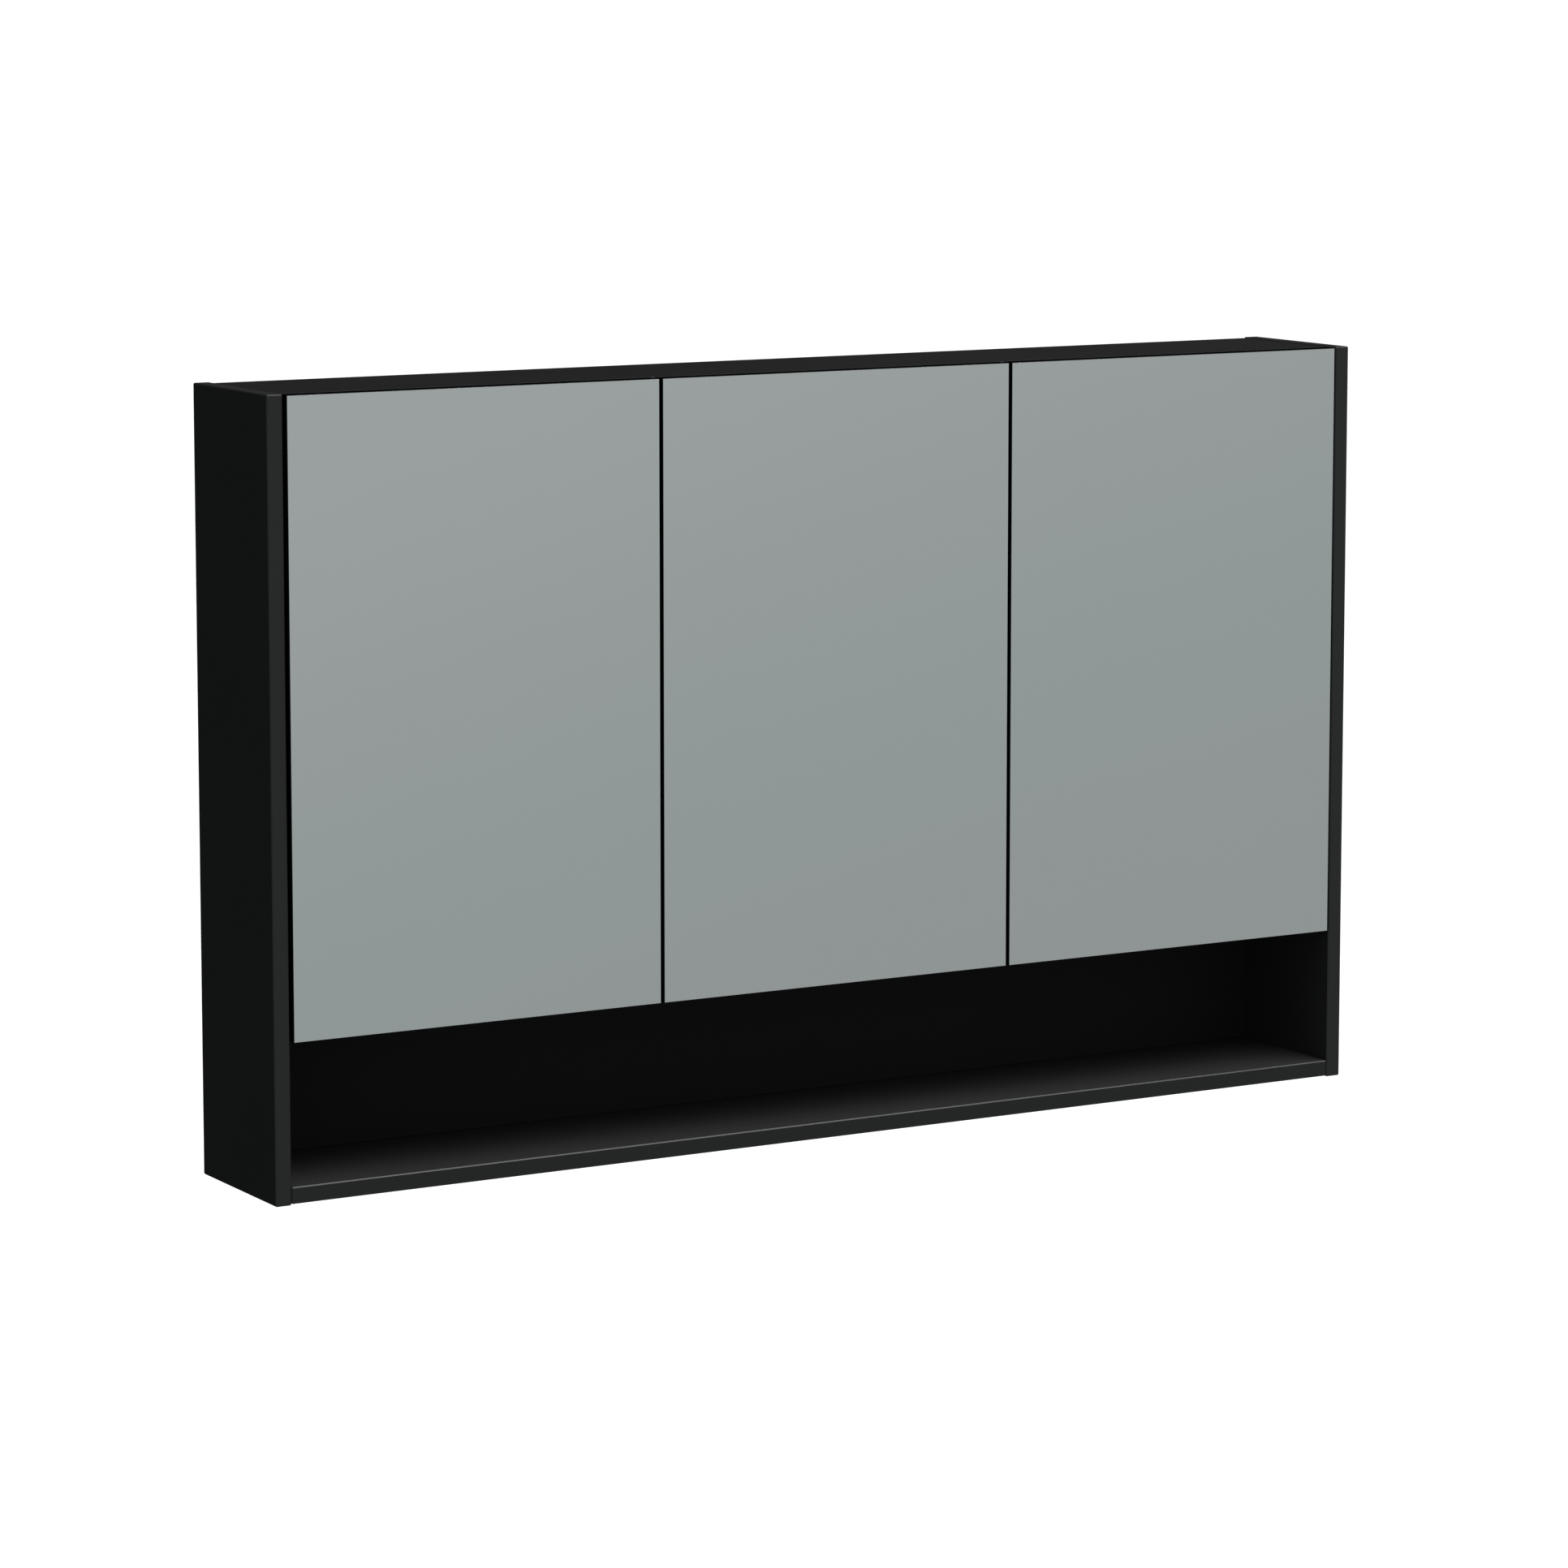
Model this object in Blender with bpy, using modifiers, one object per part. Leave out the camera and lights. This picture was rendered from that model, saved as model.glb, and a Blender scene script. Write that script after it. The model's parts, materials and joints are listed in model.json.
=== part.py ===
"""Wall-hung bathroom mirror cabinet: three mirrored doors above an open full-width niche.

Row frame, in metres: +X to the right seen from the front, -Y to the front, +Z up. y = 0 is the wall plane,
x = 0 the middle of the cabinet and z = 0 the middle of the top hanging rail, whose rear face meets the wall.

Each door hangs on two cup hinges. A hinge is described in its own plan frame: u runs from the door's hinge
edge into the door, and v runs to the front from the door's back. Both are measured with the door closed.
"""

import math

import bpy
from mathutils import Matrix, Vector

# Carcass
WIDTH = 1.200
HEIGHT = 0.750
SIDE_DEPTH = 0.162
BOARD = 0.016
SIDE_PROUD = 0.001  # the side panels stand this far above the top panel and below the bottom panel
GAP = 0.0003  # clearance between pieces that touch
RAIL_HEIGHT = 0.080
RAIL_THICKNESS = 0.016
BACK_THICKNESS = 0.003
DIVIDER_SETBACK = 0.0039  # from the top panel's front edge to a divider's front edge
FINGER_DROP = 0.015  # the doors hang this far below the compartment floor, as a finger pull
BOARD_ARRIS = 0.001
GLASS_ARRIS = 0.0005
FITTING_ARRIS = 0.0003
CUTTER_REACH = 0.001  # a cutter passes the face that it enters by this much

# Doors
DOOR_HEIGHT = 0.5965
DOOR_BOARD = 0.0147
MIRROR_THICKNESS = 0.003
MIRROR_ARRIS = 0.0004
DOOR_SIDE_GAP = 0.003
DOOR_BETWEEN_GAP = 0.0036
DOOR_PROUD = 0.0024  # the mirror faces stand this far in front of the side panels
DOOR_BACK_GAP = 0.0015  # from a closed door's back to the carcass behind it

# Shelves
SHELF_THICKNESS = 0.006
SHELF_DEPTH = 0.115
SHELF_END_GAP = 0.001
SHELVES_PER_BAY = 2

# Hinges, in the plan frame (u, v)
HINGE_FROM_DOOR_END = 0.090
CUP_CENTRE_U = 0.0207
CUP_RADIUS = 0.0172
CUP_WALL = 0.0009
CUP_DEPTH = 0.0102
CUP_FLOOR = 0.0009
POCKET_CLEARANCE = 0.0004
FLANGE_RADIUS = 0.0186
FLANGE_THICKNESS = 0.0005
EAR_CENTRE_U = 0.0302
EAR_SIZE = (0.012, 0.057)
ARM_PIVOT = (0.026, -0.011)
CUP_PIVOT = (0.0085, 0.0055)
OUTER_PIVOT = (0.036, -0.008)
INNER_LINK_KNEES = ((0.0185, 0.0078), (0.013, 0.0078))
OUTER_LINK_KNEE = (0.026, 0.006)
OUTER_LINK_TIP = (0.014, 0.005)
PIN_RADIUS = 0.001
PIN_HOLE_RADIUS = 0.0013
BOSS_RADIUS = 0.0024
LINK_HALF_WIDTH = 0.0008
LINK_HEIGHT = 0.003
LINK_OFFSET = 0.0019  # from the hinge's middle plane to the middle of each link
ARM_END_RADIUS = 0.0034
ARM_HEIGHT = 0.0152
ARM_CHEEK = 0.0018
ARM_SLOT_SPAN_V = (-0.019, 0.002)
ARM_SLOT_LENGTH = 0.060
ARM_FOOT_BACK_V = -0.070
ARM_FOOT_WIDTH = 0.010
ARM_SHOULDER = (0.012, -0.036)  # u from the foot, and v
ARM_NECK_V = -0.018
ARM_HEEL = ((0.006, -0.034), (0.0, -0.037))  # u from the foot, and v
ARM_END_TURNS = (0, 110, 215)  # degrees: where the rounding about each pin starts and ends
PLATE_THICKNESS = 0.0026
PLATE_SPAN_V = (-0.072, -0.024)
PLATE_HEIGHT = 0.020
PLATE_WING_SPAN_V = (-0.054, -0.040)
PLATE_WING_HEIGHT = 0.048

# Bumpers and wall fittings
BUMPER_RADIUS = 0.004
BUMPER_HEIGHT = 0.0009
BUMPER_FROM_DOOR_EDGE = 0.030
HANGER_SIZE = (0.060, 0.002, 0.030)
HANGER_X = 0.500
KEYHOLE_RADIUS = 0.005
KEYHOLE_SLOT = 0.005
KEYHOLE_RISE = 0.009
SCREW_ROOM = (0.040, 0.009, 0.022)

# Worked-out places
BASE_Z = -(HEIGHT - SIDE_PROUD - BOARD - GAP - RAIL_HEIGHT / 2)
INNER_HALF = WIDTH / 2 - BOARD
TOP_Z = BASE_Z + HEIGHT - SIDE_PROUD
NICHE_FLOOR_Z = BASE_Z + SIDE_PROUD + BOARD
DOOR_TOP_Z = TOP_Z
DOOR_BOTTOM_Z = DOOR_TOP_Z - DOOR_HEIGHT
COMPARTMENT_Z = DOOR_BOTTOM_Z + FINGER_DROP
SIDE_FRONT_Y = -SIDE_DEPTH
DOOR_FRONT_Y = SIDE_FRONT_Y - DOOR_PROUD
DOOR_BOARD_FRONT_Y = DOOR_FRONT_Y + MIRROR_THICKNESS + GAP
DOOR_BACK_Y = DOOR_BOARD_FRONT_Y + DOOR_BOARD
CARCASS_FRONT_Y = DOOR_BACK_Y + DOOR_BACK_GAP
BACK_REAR_Y = -(RAIL_THICKNESS + GAP)
BACK_FRONT_Y = BACK_REAR_Y - BACK_THICKNESS
INNER_REAR_Y = BACK_FRONT_Y - GAP
DOOR_WIDTH = (2 * INNER_HALF - 2 * DOOR_SIDE_GAP - 2 * DOOR_BETWEEN_GAP) / 3
DIVIDER_X = DOOR_WIDTH / 2 + DOOR_BETWEEN_GAP / 2
BAY_EDGES = {
    "left": (-INNER_HALF, -DIVIDER_X - BOARD / 2),
    "centre": (-DIVIDER_X + BOARD / 2, DIVIDER_X - BOARD / 2),
    "right": (DIVIDER_X + BOARD / 2, INNER_HALF),
}
# hinge side (+1 means hinged at its left edge), the hinge edge's x, and the u of the panel that holds the hinge
DOORS = {
    "left": (1, -INNER_HALF + DOOR_SIDE_GAP, -DOOR_SIDE_GAP),
    "centre": (1, -DOOR_WIDTH / 2, (BOARD - DOOR_BETWEEN_GAP) / 2),
    "right": (-1, INNER_HALF - DOOR_SIDE_GAP, -DOOR_SIDE_GAP),
}
HINGE_Z = {
    "upper": DOOR_TOP_Z - HINGE_FROM_DOOR_END,
    "lower": DOOR_BOTTOM_Z + HINGE_FROM_DOOR_END,
}


def clear_scene():
    """Removes whatever the scene holds at the start."""
    for old in list(bpy.data.objects):
        bpy.data.objects.remove(old, do_unlink=True)


def new_collection(name):
    """Adds a collection to the scene."""
    collection = bpy.data.collections.new(name)
    bpy.context.scene.collection.children.link(collection)
    return collection


def make_material(name, colour, roughness, metallic=0.0):
    """A Principled material with one linear colour."""
    material = bpy.data.materials.new(name)
    material.use_nodes = True
    shader = material.node_tree.nodes["Principled BSDF"]
    shader.inputs["Base Color"].default_value = (*colour, 1.0)
    shader.inputs["Roughness"].default_value = roughness
    shader.inputs["Metallic"].default_value = metallic
    material.diffuse_color = (*colour, 1.0)
    return material


def place(name, mesh, material, location=(0, 0, 0), parent=None):
    """Puts a mesh in the cabinet's collection as one named piece."""
    piece = bpy.data.objects.new(name, mesh)
    PARTS.objects.link(piece)
    if not mesh.materials:
        mesh.materials.append(material)
    if parent is None:
        piece.location = location
    else:
        piece.parent = parent
        piece.location = Vector(location) - parent.location
    return piece


def box_mesh(name, size):
    """A box of the given size about its own centre."""
    bpy.ops.mesh.primitive_cube_add(size=1)
    cube = bpy.context.object
    mesh = cube.data
    mesh.name = name
    mesh.transform(Matrix.Diagonal((*size, 1)))
    bpy.data.objects.remove(cube)
    return mesh


def cylinder_mesh(name, radius, depth, axis="Z", segments=16):
    """A closed cylinder about its own centre, along Y or Z."""
    bpy.ops.mesh.primitive_cylinder_add(radius=radius, depth=depth, vertices=segments)
    cylinder = bpy.context.object
    mesh = cylinder.data
    mesh.name = name
    if axis == "Y":
        mesh.transform(Matrix.Rotation(math.pi / 2, 4, "X"))
    bpy.data.objects.remove(cylinder)
    return mesh


def bevelled(piece, width):
    """Breaks every sharp edge of a piece."""
    bevel = piece.modifiers.new("arris", "BEVEL")
    bevel.width = width
    bevel.segments = 1
    bevel.limit_method = "ANGLE"
    return piece


def board(name, low, high, material, arris=BOARD_ARRIS, parent=None):
    """A board between two opposite corners, with its edges broken."""
    low, high = Vector(low), Vector(high)
    piece = place(name, box_mesh(name, high - low), material, (low + high) / 2, parent)
    return bevelled(piece, arris)


def helper(mesh, location):
    """A hidden object that a Boolean cuts with or adds."""
    tool = bpy.data.objects.new(mesh.name, mesh)
    tool.location = location
    tool.hide_render = True
    tool.display_type = "WIRE"
    CUTTERS.objects.link(tool)
    return tool


def cut_or_add(piece, mesh, location, operation="DIFFERENCE"):
    """Adds a Boolean with a helper that is placed in the world."""
    modifier = piece.modifiers.new(mesh.name, "BOOLEAN")
    modifier.operation = operation
    modifier.object = helper(mesh, location)


def finished_mesh(piece, name):
    """The piece's evaluated mesh in world places, for copies to share. The piece itself is removed."""
    bpy.context.view_layer.update()
    graph = bpy.context.evaluated_depsgraph_get()
    mesh = bpy.data.meshes.new_from_object(piece.evaluated_get(graph))
    mesh.name = name
    mesh.transform(piece.matrix_world)
    tools = [modifier.object for modifier in piece.modifiers if modifier.type == "BOOLEAN"]
    for used in (piece, *tools):
        bpy.data.objects.remove(used)
    return mesh


def plan(point, hand):
    """A hinge's (u, v) point in x and y about the door's hinge edge and back."""
    return Vector((hand * point[0], -point[1]))


def arc(centre, radius, start, end, steps=6):
    """Points of an arc, with its angles in radians."""
    points = []
    for step in range(steps + 1):
        angle = start + (end - start) * step / steps
        points.append(centre + radius * Vector((math.cos(angle), math.sin(angle))))
    return points


def strap_outline(points, half_width, start_radius, end_radius):
    """The outline of a bent strap along some points, with a round boss at each end."""
    outline = []
    for path, boss_radius in ((points, end_radius), (points[::-1], start_radius)):
        for before, corner, after in zip(path, path[1:], path[2:]):
            ahead, behind = (after - corner).normalized(), (corner - before).normalized()
            middle = (ahead + behind).normalized()
            side = Vector((middle.y, -middle.x))
            outline.append(corner + side * half_width / middle.dot(ahead))
        last = (path[-1] - path[-2]).normalized()
        neck = math.pi - math.asin(half_width / boss_radius)
        heading = math.atan2(last.y, last.x)
        outline += arc(path[-1], boss_radius, heading - neck, heading + neck, 12)
    return outline


def plate_mesh(name, outline, thickness, holes=()):
    """A flat plate of a plan outline, thick along Z about z = 0, with round holes given as (centre, radius)."""
    curve = bpy.data.curves.new(name, "CURVE")
    curve.dimensions = "2D"
    curve.fill_mode = "BOTH"
    curve.extrude = thickness / 2
    loops = [outline]
    for centre, radius in holes:
        loops.append(arc(centre, radius, 0, 2 * math.pi, 12)[:-1])
    for loop in loops:
        spline = curve.splines.new("POLY")
        spline.points.add(len(loop) - 1)
        for point, place_at in zip(spline.points, loop):
            point.co = (place_at.x, place_at.y, 0, 1)
        spline.use_cyclic_u = True
    drawn = bpy.data.objects.new(name, curve)
    PARTS.objects.link(drawn)
    weld = drawn.modifiers.new("weld", "WELD")
    weld.merge_threshold = 0.00001
    return finished_mesh(drawn, name)


def make_carcass(black, grey):
    """Side, top and bottom panels, the compartment's floor and dividers, the back sheet and the rails."""
    base, top = BASE_Z, BASE_Z + HEIGHT
    inner = INNER_HALF - GAP
    under_top = TOP_Z - BOARD
    for name, side in (("left", -1), ("right", 1)):
        outer, face = side * WIDTH / 2, side * INNER_HALF
        low_x, high_x = min(outer, face), max(outer, face)
        board(f"{name}_side_panel", (low_x, SIDE_FRONT_Y, base), (high_x, 0, top), black)
    board("top_panel", (-inner, CARCASS_FRONT_Y, under_top), (inner, 0, TOP_Z), black)
    board("bottom_panel", (-inner, SIDE_FRONT_Y, NICHE_FLOOR_Z - BOARD), (inner, 0, NICHE_FLOOR_Z), black)
    floor_top = COMPARTMENT_Z + BOARD
    board("compartment_floor", (-inner, CARCASS_FRONT_Y, COMPARTMENT_Z), (inner, INNER_REAR_Y, floor_top), black)
    for name, centre in (("left", -DIVIDER_X), ("right", DIVIDER_X)):
        low = (centre - BOARD / 2, CARCASS_FRONT_Y + DIVIDER_SETBACK, floor_top + GAP)
        high = (centre + BOARD / 2, INNER_REAR_Y, under_top - GAP)
        board(f"{name}_divider", low, high, black)
    back_low = (-inner, BACK_FRONT_Y, NICHE_FLOOR_Z + GAP)
    board("back_sheet", back_low, (inner, BACK_REAR_Y, under_top - GAP), grey, arris=FITTING_ARRIS)
    rail_low = (-inner, -RAIL_THICKNESS, -RAIL_HEIGHT / 2)
    rail = board("top_hanging_rail", rail_low, (inner, 0, RAIL_HEIGHT / 2), black)
    cut_hanger_pockets(rail)
    low_z = NICHE_FLOOR_Z + GAP
    board("bottom_hanging_rail", (-inner, -RAIL_THICKNESS, low_z), (inner, 0, low_z + RAIL_HEIGHT), black)


def cut_hanger_pockets(rail):
    """Pockets in the rail's rear face for the hanger plates, with room for a screw head in front of them."""
    width, thickness, height = HANGER_SIZE
    pocket_depth = thickness + GAP
    for x in (-HANGER_X, HANGER_X):
        pocket = box_mesh("hanger_pocket", (width + 2 * GAP, pocket_depth + CUTTER_REACH, height + 2 * GAP))
        cut_or_add(rail, pocket, (x, (CUTTER_REACH - pocket_depth) / 2, 0))
        room = box_mesh("screw_room", (SCREW_ROOM[0], SCREW_ROOM[1] + CUTTER_REACH, SCREW_ROOM[2]))
        cut_or_add(rail, room, (x, (CUTTER_REACH - SCREW_ROOM[1]) / 2, 0))


def make_hanger_plates(steel):
    """Two keyhole plates, flush with the rear face of the top hanging rail."""
    thickness = HANGER_SIZE[1]
    for name, x in (("left", -HANGER_X), ("right", HANGER_X)):
        plate = place(f"{name}_hanger_plate", box_mesh("hanger_plate", HANGER_SIZE), steel, (x, -thickness / 2, 0))
        eye = cylinder_mesh("keyhole_eye", KEYHOLE_RADIUS, 2 * thickness, "Y", 24)
        cut_or_add(plate, eye, (x, -thickness / 2, -KEYHOLE_RISE / 2))
        slot = box_mesh("keyhole_slot", (KEYHOLE_SLOT, 2 * thickness, KEYHOLE_RISE))
        cut_or_add(plate, slot, (x, -thickness / 2, KEYHOLE_RISE / 2))


def make_shelves(glass):
    """Adjustable glass shelves, evenly spaced in each bay."""
    bottom = COMPARTMENT_Z + BOARD
    pitch = (TOP_Z - BOARD - bottom) / (SHELVES_PER_BAY + 1)
    rear = INNER_REAR_Y
    for bay, (left, right) in BAY_EDGES.items():
        for row, level in enumerate(("lower", "upper"), start=1):
            z = bottom + row * pitch
            low = (left + SHELF_END_GAP, rear - SHELF_DEPTH, z - SHELF_THICKNESS / 2)
            high = (right - SHELF_END_GAP, rear, z + SHELF_THICKNESS / 2)
            board(f"{bay}_{level}_shelf", low, high, glass, arris=GLASS_ARRIS)


def make_door(door, black, mirror):
    """One door's board and mirror, hung from an empty on its cup pivot. Returns the empty."""
    hand, edge_x, _ = DOORS[door]
    pivot = plan(CUP_PIVOT, hand)
    axis = bpy.data.objects.new(f"{door}_door_axis", None)
    axis.location = (edge_x + pivot.x, DOOR_BACK_Y + pivot.y, (DOOR_TOP_Z + DOOR_BOTTOM_Z) / 2)
    PARTS.objects.link(axis)
    far_x = edge_x + hand * DOOR_WIDTH
    low_x, high_x = min(edge_x, far_x), max(edge_x, far_x)
    panel = board(
        f"{door}_door_board",
        (low_x, DOOR_BOARD_FRONT_Y, DOOR_BOTTOM_Z),
        (high_x, DOOR_BACK_Y, DOOR_TOP_Z),
        black,
        parent=axis,
    )
    depth = CUP_DEPTH + 2 * POCKET_CLEARANCE
    for z in HINGE_Z.values():
        pocket = cylinder_mesh("cup_pocket", CUP_RADIUS + POCKET_CLEARANCE, depth + CUTTER_REACH, "Y", 32)
        cut_or_add(panel, pocket, (edge_x + hand * CUP_CENTRE_U, DOOR_BACK_Y + (CUTTER_REACH - depth) / 2, z))
    board(
        f"{door}_door_mirror",
        (low_x, DOOR_FRONT_Y, DOOR_BOTTOM_Z),
        (high_x, DOOR_FRONT_Y + MIRROR_THICKNESS, DOOR_TOP_Z),
        mirror,
        arris=MIRROR_ARRIS,
        parent=axis,
    )
    return axis


def cup_mesh(hand, nickel):
    """A hinge cup with its flange, two screw ears and the pin that the inner link turns on."""
    outer_depth = CUP_DEPTH + FLANGE_THICKNESS
    mouth_y = GAP + FLANGE_THICKNESS
    cup_x = hand * CUP_CENTRE_U
    body = place("cup_body", cylinder_mesh("cup_body", CUP_RADIUS, outer_depth, "Y", 32), nickel)
    body.location = (cup_x, mouth_y - outer_depth / 2, 0)
    flange_y = GAP + FLANGE_THICKNESS / 2
    flange = cylinder_mesh("cup_flange", FLANGE_RADIUS, FLANGE_THICKNESS, "Y", 32)
    cut_or_add(body, flange, (cup_x, flange_y, 0), "UNION")
    ears = box_mesh("cup_ears", (EAR_SIZE[0], FLANGE_THICKNESS, EAR_SIZE[1]))
    cut_or_add(body, ears, (hand * EAR_CENTRE_U, flange_y, 0), "UNION")
    hollow_depth = CUP_DEPTH - CUP_FLOOR + FLANGE_THICKNESS
    hollow = cylinder_mesh("cup_hollow", CUP_RADIUS - CUP_WALL, hollow_depth + CUTTER_REACH, "Y", 32)
    cut_or_add(body, hollow, (cup_x, mouth_y + (CUTTER_REACH - hollow_depth) / 2, 0))
    pivot = plan(CUP_PIVOT, hand)
    wall_middle = CUP_RADIUS - CUP_WALL / 2
    half_pin = math.sqrt(wall_middle**2 - (CUP_CENTRE_U - CUP_PIVOT[0]) ** 2)
    pin = cylinder_mesh("cup_pin", PIN_RADIUS, 2 * half_pin, "Z", 12)
    cut_or_add(body, pin, (pivot.x, pivot.y, 0), "UNION")
    mesh = finished_mesh(body, f"hinge_cup_{'left' if hand > 0 else 'right'}")
    mesh.transform(Matrix.Translation((-pivot.x, -pivot.y, 0)))
    return mesh


def inner_link_mesh(hand):
    """The gooseneck link from the arm's pin to the cup's pin, about the arm's pin."""
    origin = plan(ARM_PIVOT, hand)
    points = [plan(point, hand) - origin for point in (ARM_PIVOT, *INNER_LINK_KNEES, CUP_PIVOT)]
    outline = strap_outline(points, LINK_HALF_WIDTH, BOSS_RADIUS, BOSS_RADIUS)
    holes = ((points[0], PIN_HOLE_RADIUS), (points[-1], PIN_HOLE_RADIUS))
    return plate_mesh(f"inner_link_{hand}", outline, LINK_HEIGHT, holes)


def outer_link_mesh(hand):
    """The second link, about its own pin on the arm. Its far end lies free inside the cup."""
    origin = plan(OUTER_PIVOT, hand)
    points = [plan(point, hand) - origin for point in (OUTER_PIVOT, OUTER_LINK_KNEE, OUTER_LINK_TIP)]
    outline = strap_outline(points, LINK_HALF_WIDTH, BOSS_RADIUS, 2 * LINK_HALF_WIDTH)
    return plate_mesh(f"outer_link_{hand}", outline, LINK_HEIGHT, ((points[0], PIN_HOLE_RADIUS),))


def arm_outline(hand, face_u):
    """The plan outline of a hinge arm that stands on its plate and reaches its two pins."""
    foot = face_u + GAP * 2 + PLATE_THICKNESS
    turns = [math.radians(turn) for turn in ARM_END_TURNS]
    points = [Vector((foot, ARM_FOOT_BACK_V)), Vector((foot + ARM_FOOT_WIDTH, ARM_FOOT_BACK_V))]
    points.append(Vector((foot + ARM_SHOULDER[0], ARM_SHOULDER[1])))
    points.append(Vector((OUTER_PIVOT[0] + ARM_END_RADIUS, ARM_NECK_V)))
    points += arc(Vector(OUTER_PIVOT), ARM_END_RADIUS, turns[0], turns[1])
    points += arc(Vector(ARM_PIVOT), ARM_END_RADIUS, turns[1], turns[2])
    points += [Vector((foot + u, v)) for u, v in ARM_HEEL]
    return [plan(point, hand) for point in points]


def arm_mesh(hand, face_u, nickel):
    """A hinge arm: a solid crank whose forked end holds the two pins."""
    body = place("arm_body", plate_mesh("arm_body", arm_outline(hand, face_u), ARM_HEIGHT), nickel)
    slot_depth = ARM_SLOT_SPAN_V[1] - ARM_SLOT_SPAN_V[0]
    slot = box_mesh("arm_slot", (ARM_SLOT_LENGTH, slot_depth, ARM_HEIGHT - 2 * ARM_CHEEK))
    middle = plan((OUTER_PIVOT[0], sum(ARM_SLOT_SPAN_V) / 2), hand)
    cut_or_add(body, slot, (middle.x, middle.y, 0))
    for pivot in (ARM_PIVOT, OUTER_PIVOT):
        centre = plan(pivot, hand)
        pin = cylinder_mesh("arm_pin", PIN_RADIUS, ARM_HEIGHT - ARM_CHEEK, "Z", 12)
        cut_or_add(body, pin, (centre.x, centre.y, 0), "UNION")
    return finished_mesh(body, f"hinge_arm_{hand}_{face_u:.4f}")


def mounting_plate_mesh(nickel):
    """A cross-shaped plate: a bar with two wings, lying in Y and Z."""
    length = PLATE_SPAN_V[1] - PLATE_SPAN_V[0]
    bar = place("plate_bar", box_mesh("plate_bar", (PLATE_THICKNESS, length, PLATE_HEIGHT)), nickel)
    wing_length = PLATE_WING_SPAN_V[1] - PLATE_WING_SPAN_V[0]
    wing = box_mesh("plate_wing", (PLATE_THICKNESS, wing_length, PLATE_WING_HEIGHT))
    shift = (sum(PLATE_SPAN_V) - sum(PLATE_WING_SPAN_V)) / 2
    cut_or_add(bar, wing, (0, shift, 0), "UNION")
    return finished_mesh(bar, "mounting_plate")


def make_hinges(axes, nickel):
    """Two hinges on each door. The pieces of one kind and hand share a mesh."""
    cups = {hand: cup_mesh(hand, nickel) for hand in (1, -1)}
    inner_links = {hand: inner_link_mesh(hand) for hand in (1, -1)}
    outer_links = {hand: outer_link_mesh(hand) for hand in (1, -1)}
    plate = mounting_plate_mesh(nickel)
    for door, (hand, edge_x, face_u) in DOORS.items():
        arm = arm_mesh(hand, face_u, nickel)
        plate_at = plan((face_u + GAP + PLATE_THICKNESS / 2, sum(PLATE_SPAN_V) / 2), hand)
        for level, z in HINGE_Z.items():
            name = f"{door}_{level}_hinge"
            edge = Vector((edge_x, DOOR_BACK_Y))
            inner_at = edge + plan(ARM_PIVOT, hand)
            outer_at = edge + plan(OUTER_PIVOT, hand)
            cup_at = edge + plan(CUP_PIVOT, hand)
            place(f"{name}_cup", cups[hand], nickel, (*cup_at, z), axes[door])
            place(f"{name}_inner_link", inner_links[hand], nickel, (*inner_at, z + LINK_OFFSET))
            place(f"{name}_outer_link", outer_links[hand], nickel, (*outer_at, z - LINK_OFFSET))
            place(f"{name}_arm", arm, nickel, (*edge, z))
            place(f"{name}_plate", plate, nickel, (*(edge + plate_at), z))


def make_bumpers(clear):
    """Two soft dots behind each door's free edge, on the carcass's front edges."""
    bumper = cylinder_mesh("bumper", BUMPER_RADIUS, BUMPER_HEIGHT, "Y", 16)
    y = CARCASS_FRONT_Y - GAP - BUMPER_HEIGHT / 2
    levels = {"upper": TOP_Z - BOARD / 2, "lower": COMPARTMENT_Z + BOARD / 2}
    for door, (hand, edge_x, _) in DOORS.items():
        x = edge_x + hand * (DOOR_WIDTH - BUMPER_FROM_DOOR_EDGE)
        for level, z in levels.items():
            place(f"{door}_{level}_door_bumper", bumper, clear, (x, y, z))


def shade_pieces():
    """Smooth shading that keeps every edge sharper than 30 degrees."""
    for piece in PARTS.objects:
        if piece.type == "MESH":
            piece.data.shade_smooth()
            piece.data.set_sharp_from_angle(angle=math.radians(30))


clear_scene()
PARTS = new_collection("mirror_cabinet")
CUTTERS = new_collection("cutters")
black_board = make_material("black_melamine", (0.016, 0.016, 0.016), 0.55)
grey_sheet = make_material("dark_back_sheet", (0.012, 0.012, 0.012), 0.6)
mirror_glass = make_material("mirror_glass", (0.78, 0.80, 0.80), 0.03, 1.0)
shelf_glass = make_material("shelf_glass", (0.62, 0.72, 0.69), 0.05)
nickel_plate = make_material("nickel_plate", (0.66, 0.64, 0.61), 0.28, 1.0)
zinc_steel = make_material("zinc_steel", (0.55, 0.56, 0.58), 0.4, 1.0)
clear_bumper = make_material("clear_bumper", (0.80, 0.80, 0.80), 0.3)

make_carcass(black_board, grey_sheet)
make_hanger_plates(zinc_steel)
make_shelves(shelf_glass)
door_axes = {door: make_door(door, black_board, mirror_glass) for door in DOORS}
make_hinges(door_axes, nickel_plate)
make_bumpers(clear_bumper)
shade_pieces()
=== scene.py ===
"""The looks of a wall-hung bathroom mirror cabinet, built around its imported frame.

Row frame, in metres: +X to the right seen from the front, -Y to the front, +Z up. The wall is at y = 0.
"""

import json
import logging
import math
from collections.abc import Callable, Iterable, Iterator
from contextlib import contextmanager
from dataclasses import dataclass, field
from enum import Enum
from functools import cache
from typing import Protocol

import bmesh
import bpy
from mathutils import Matrix, Vector


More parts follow.
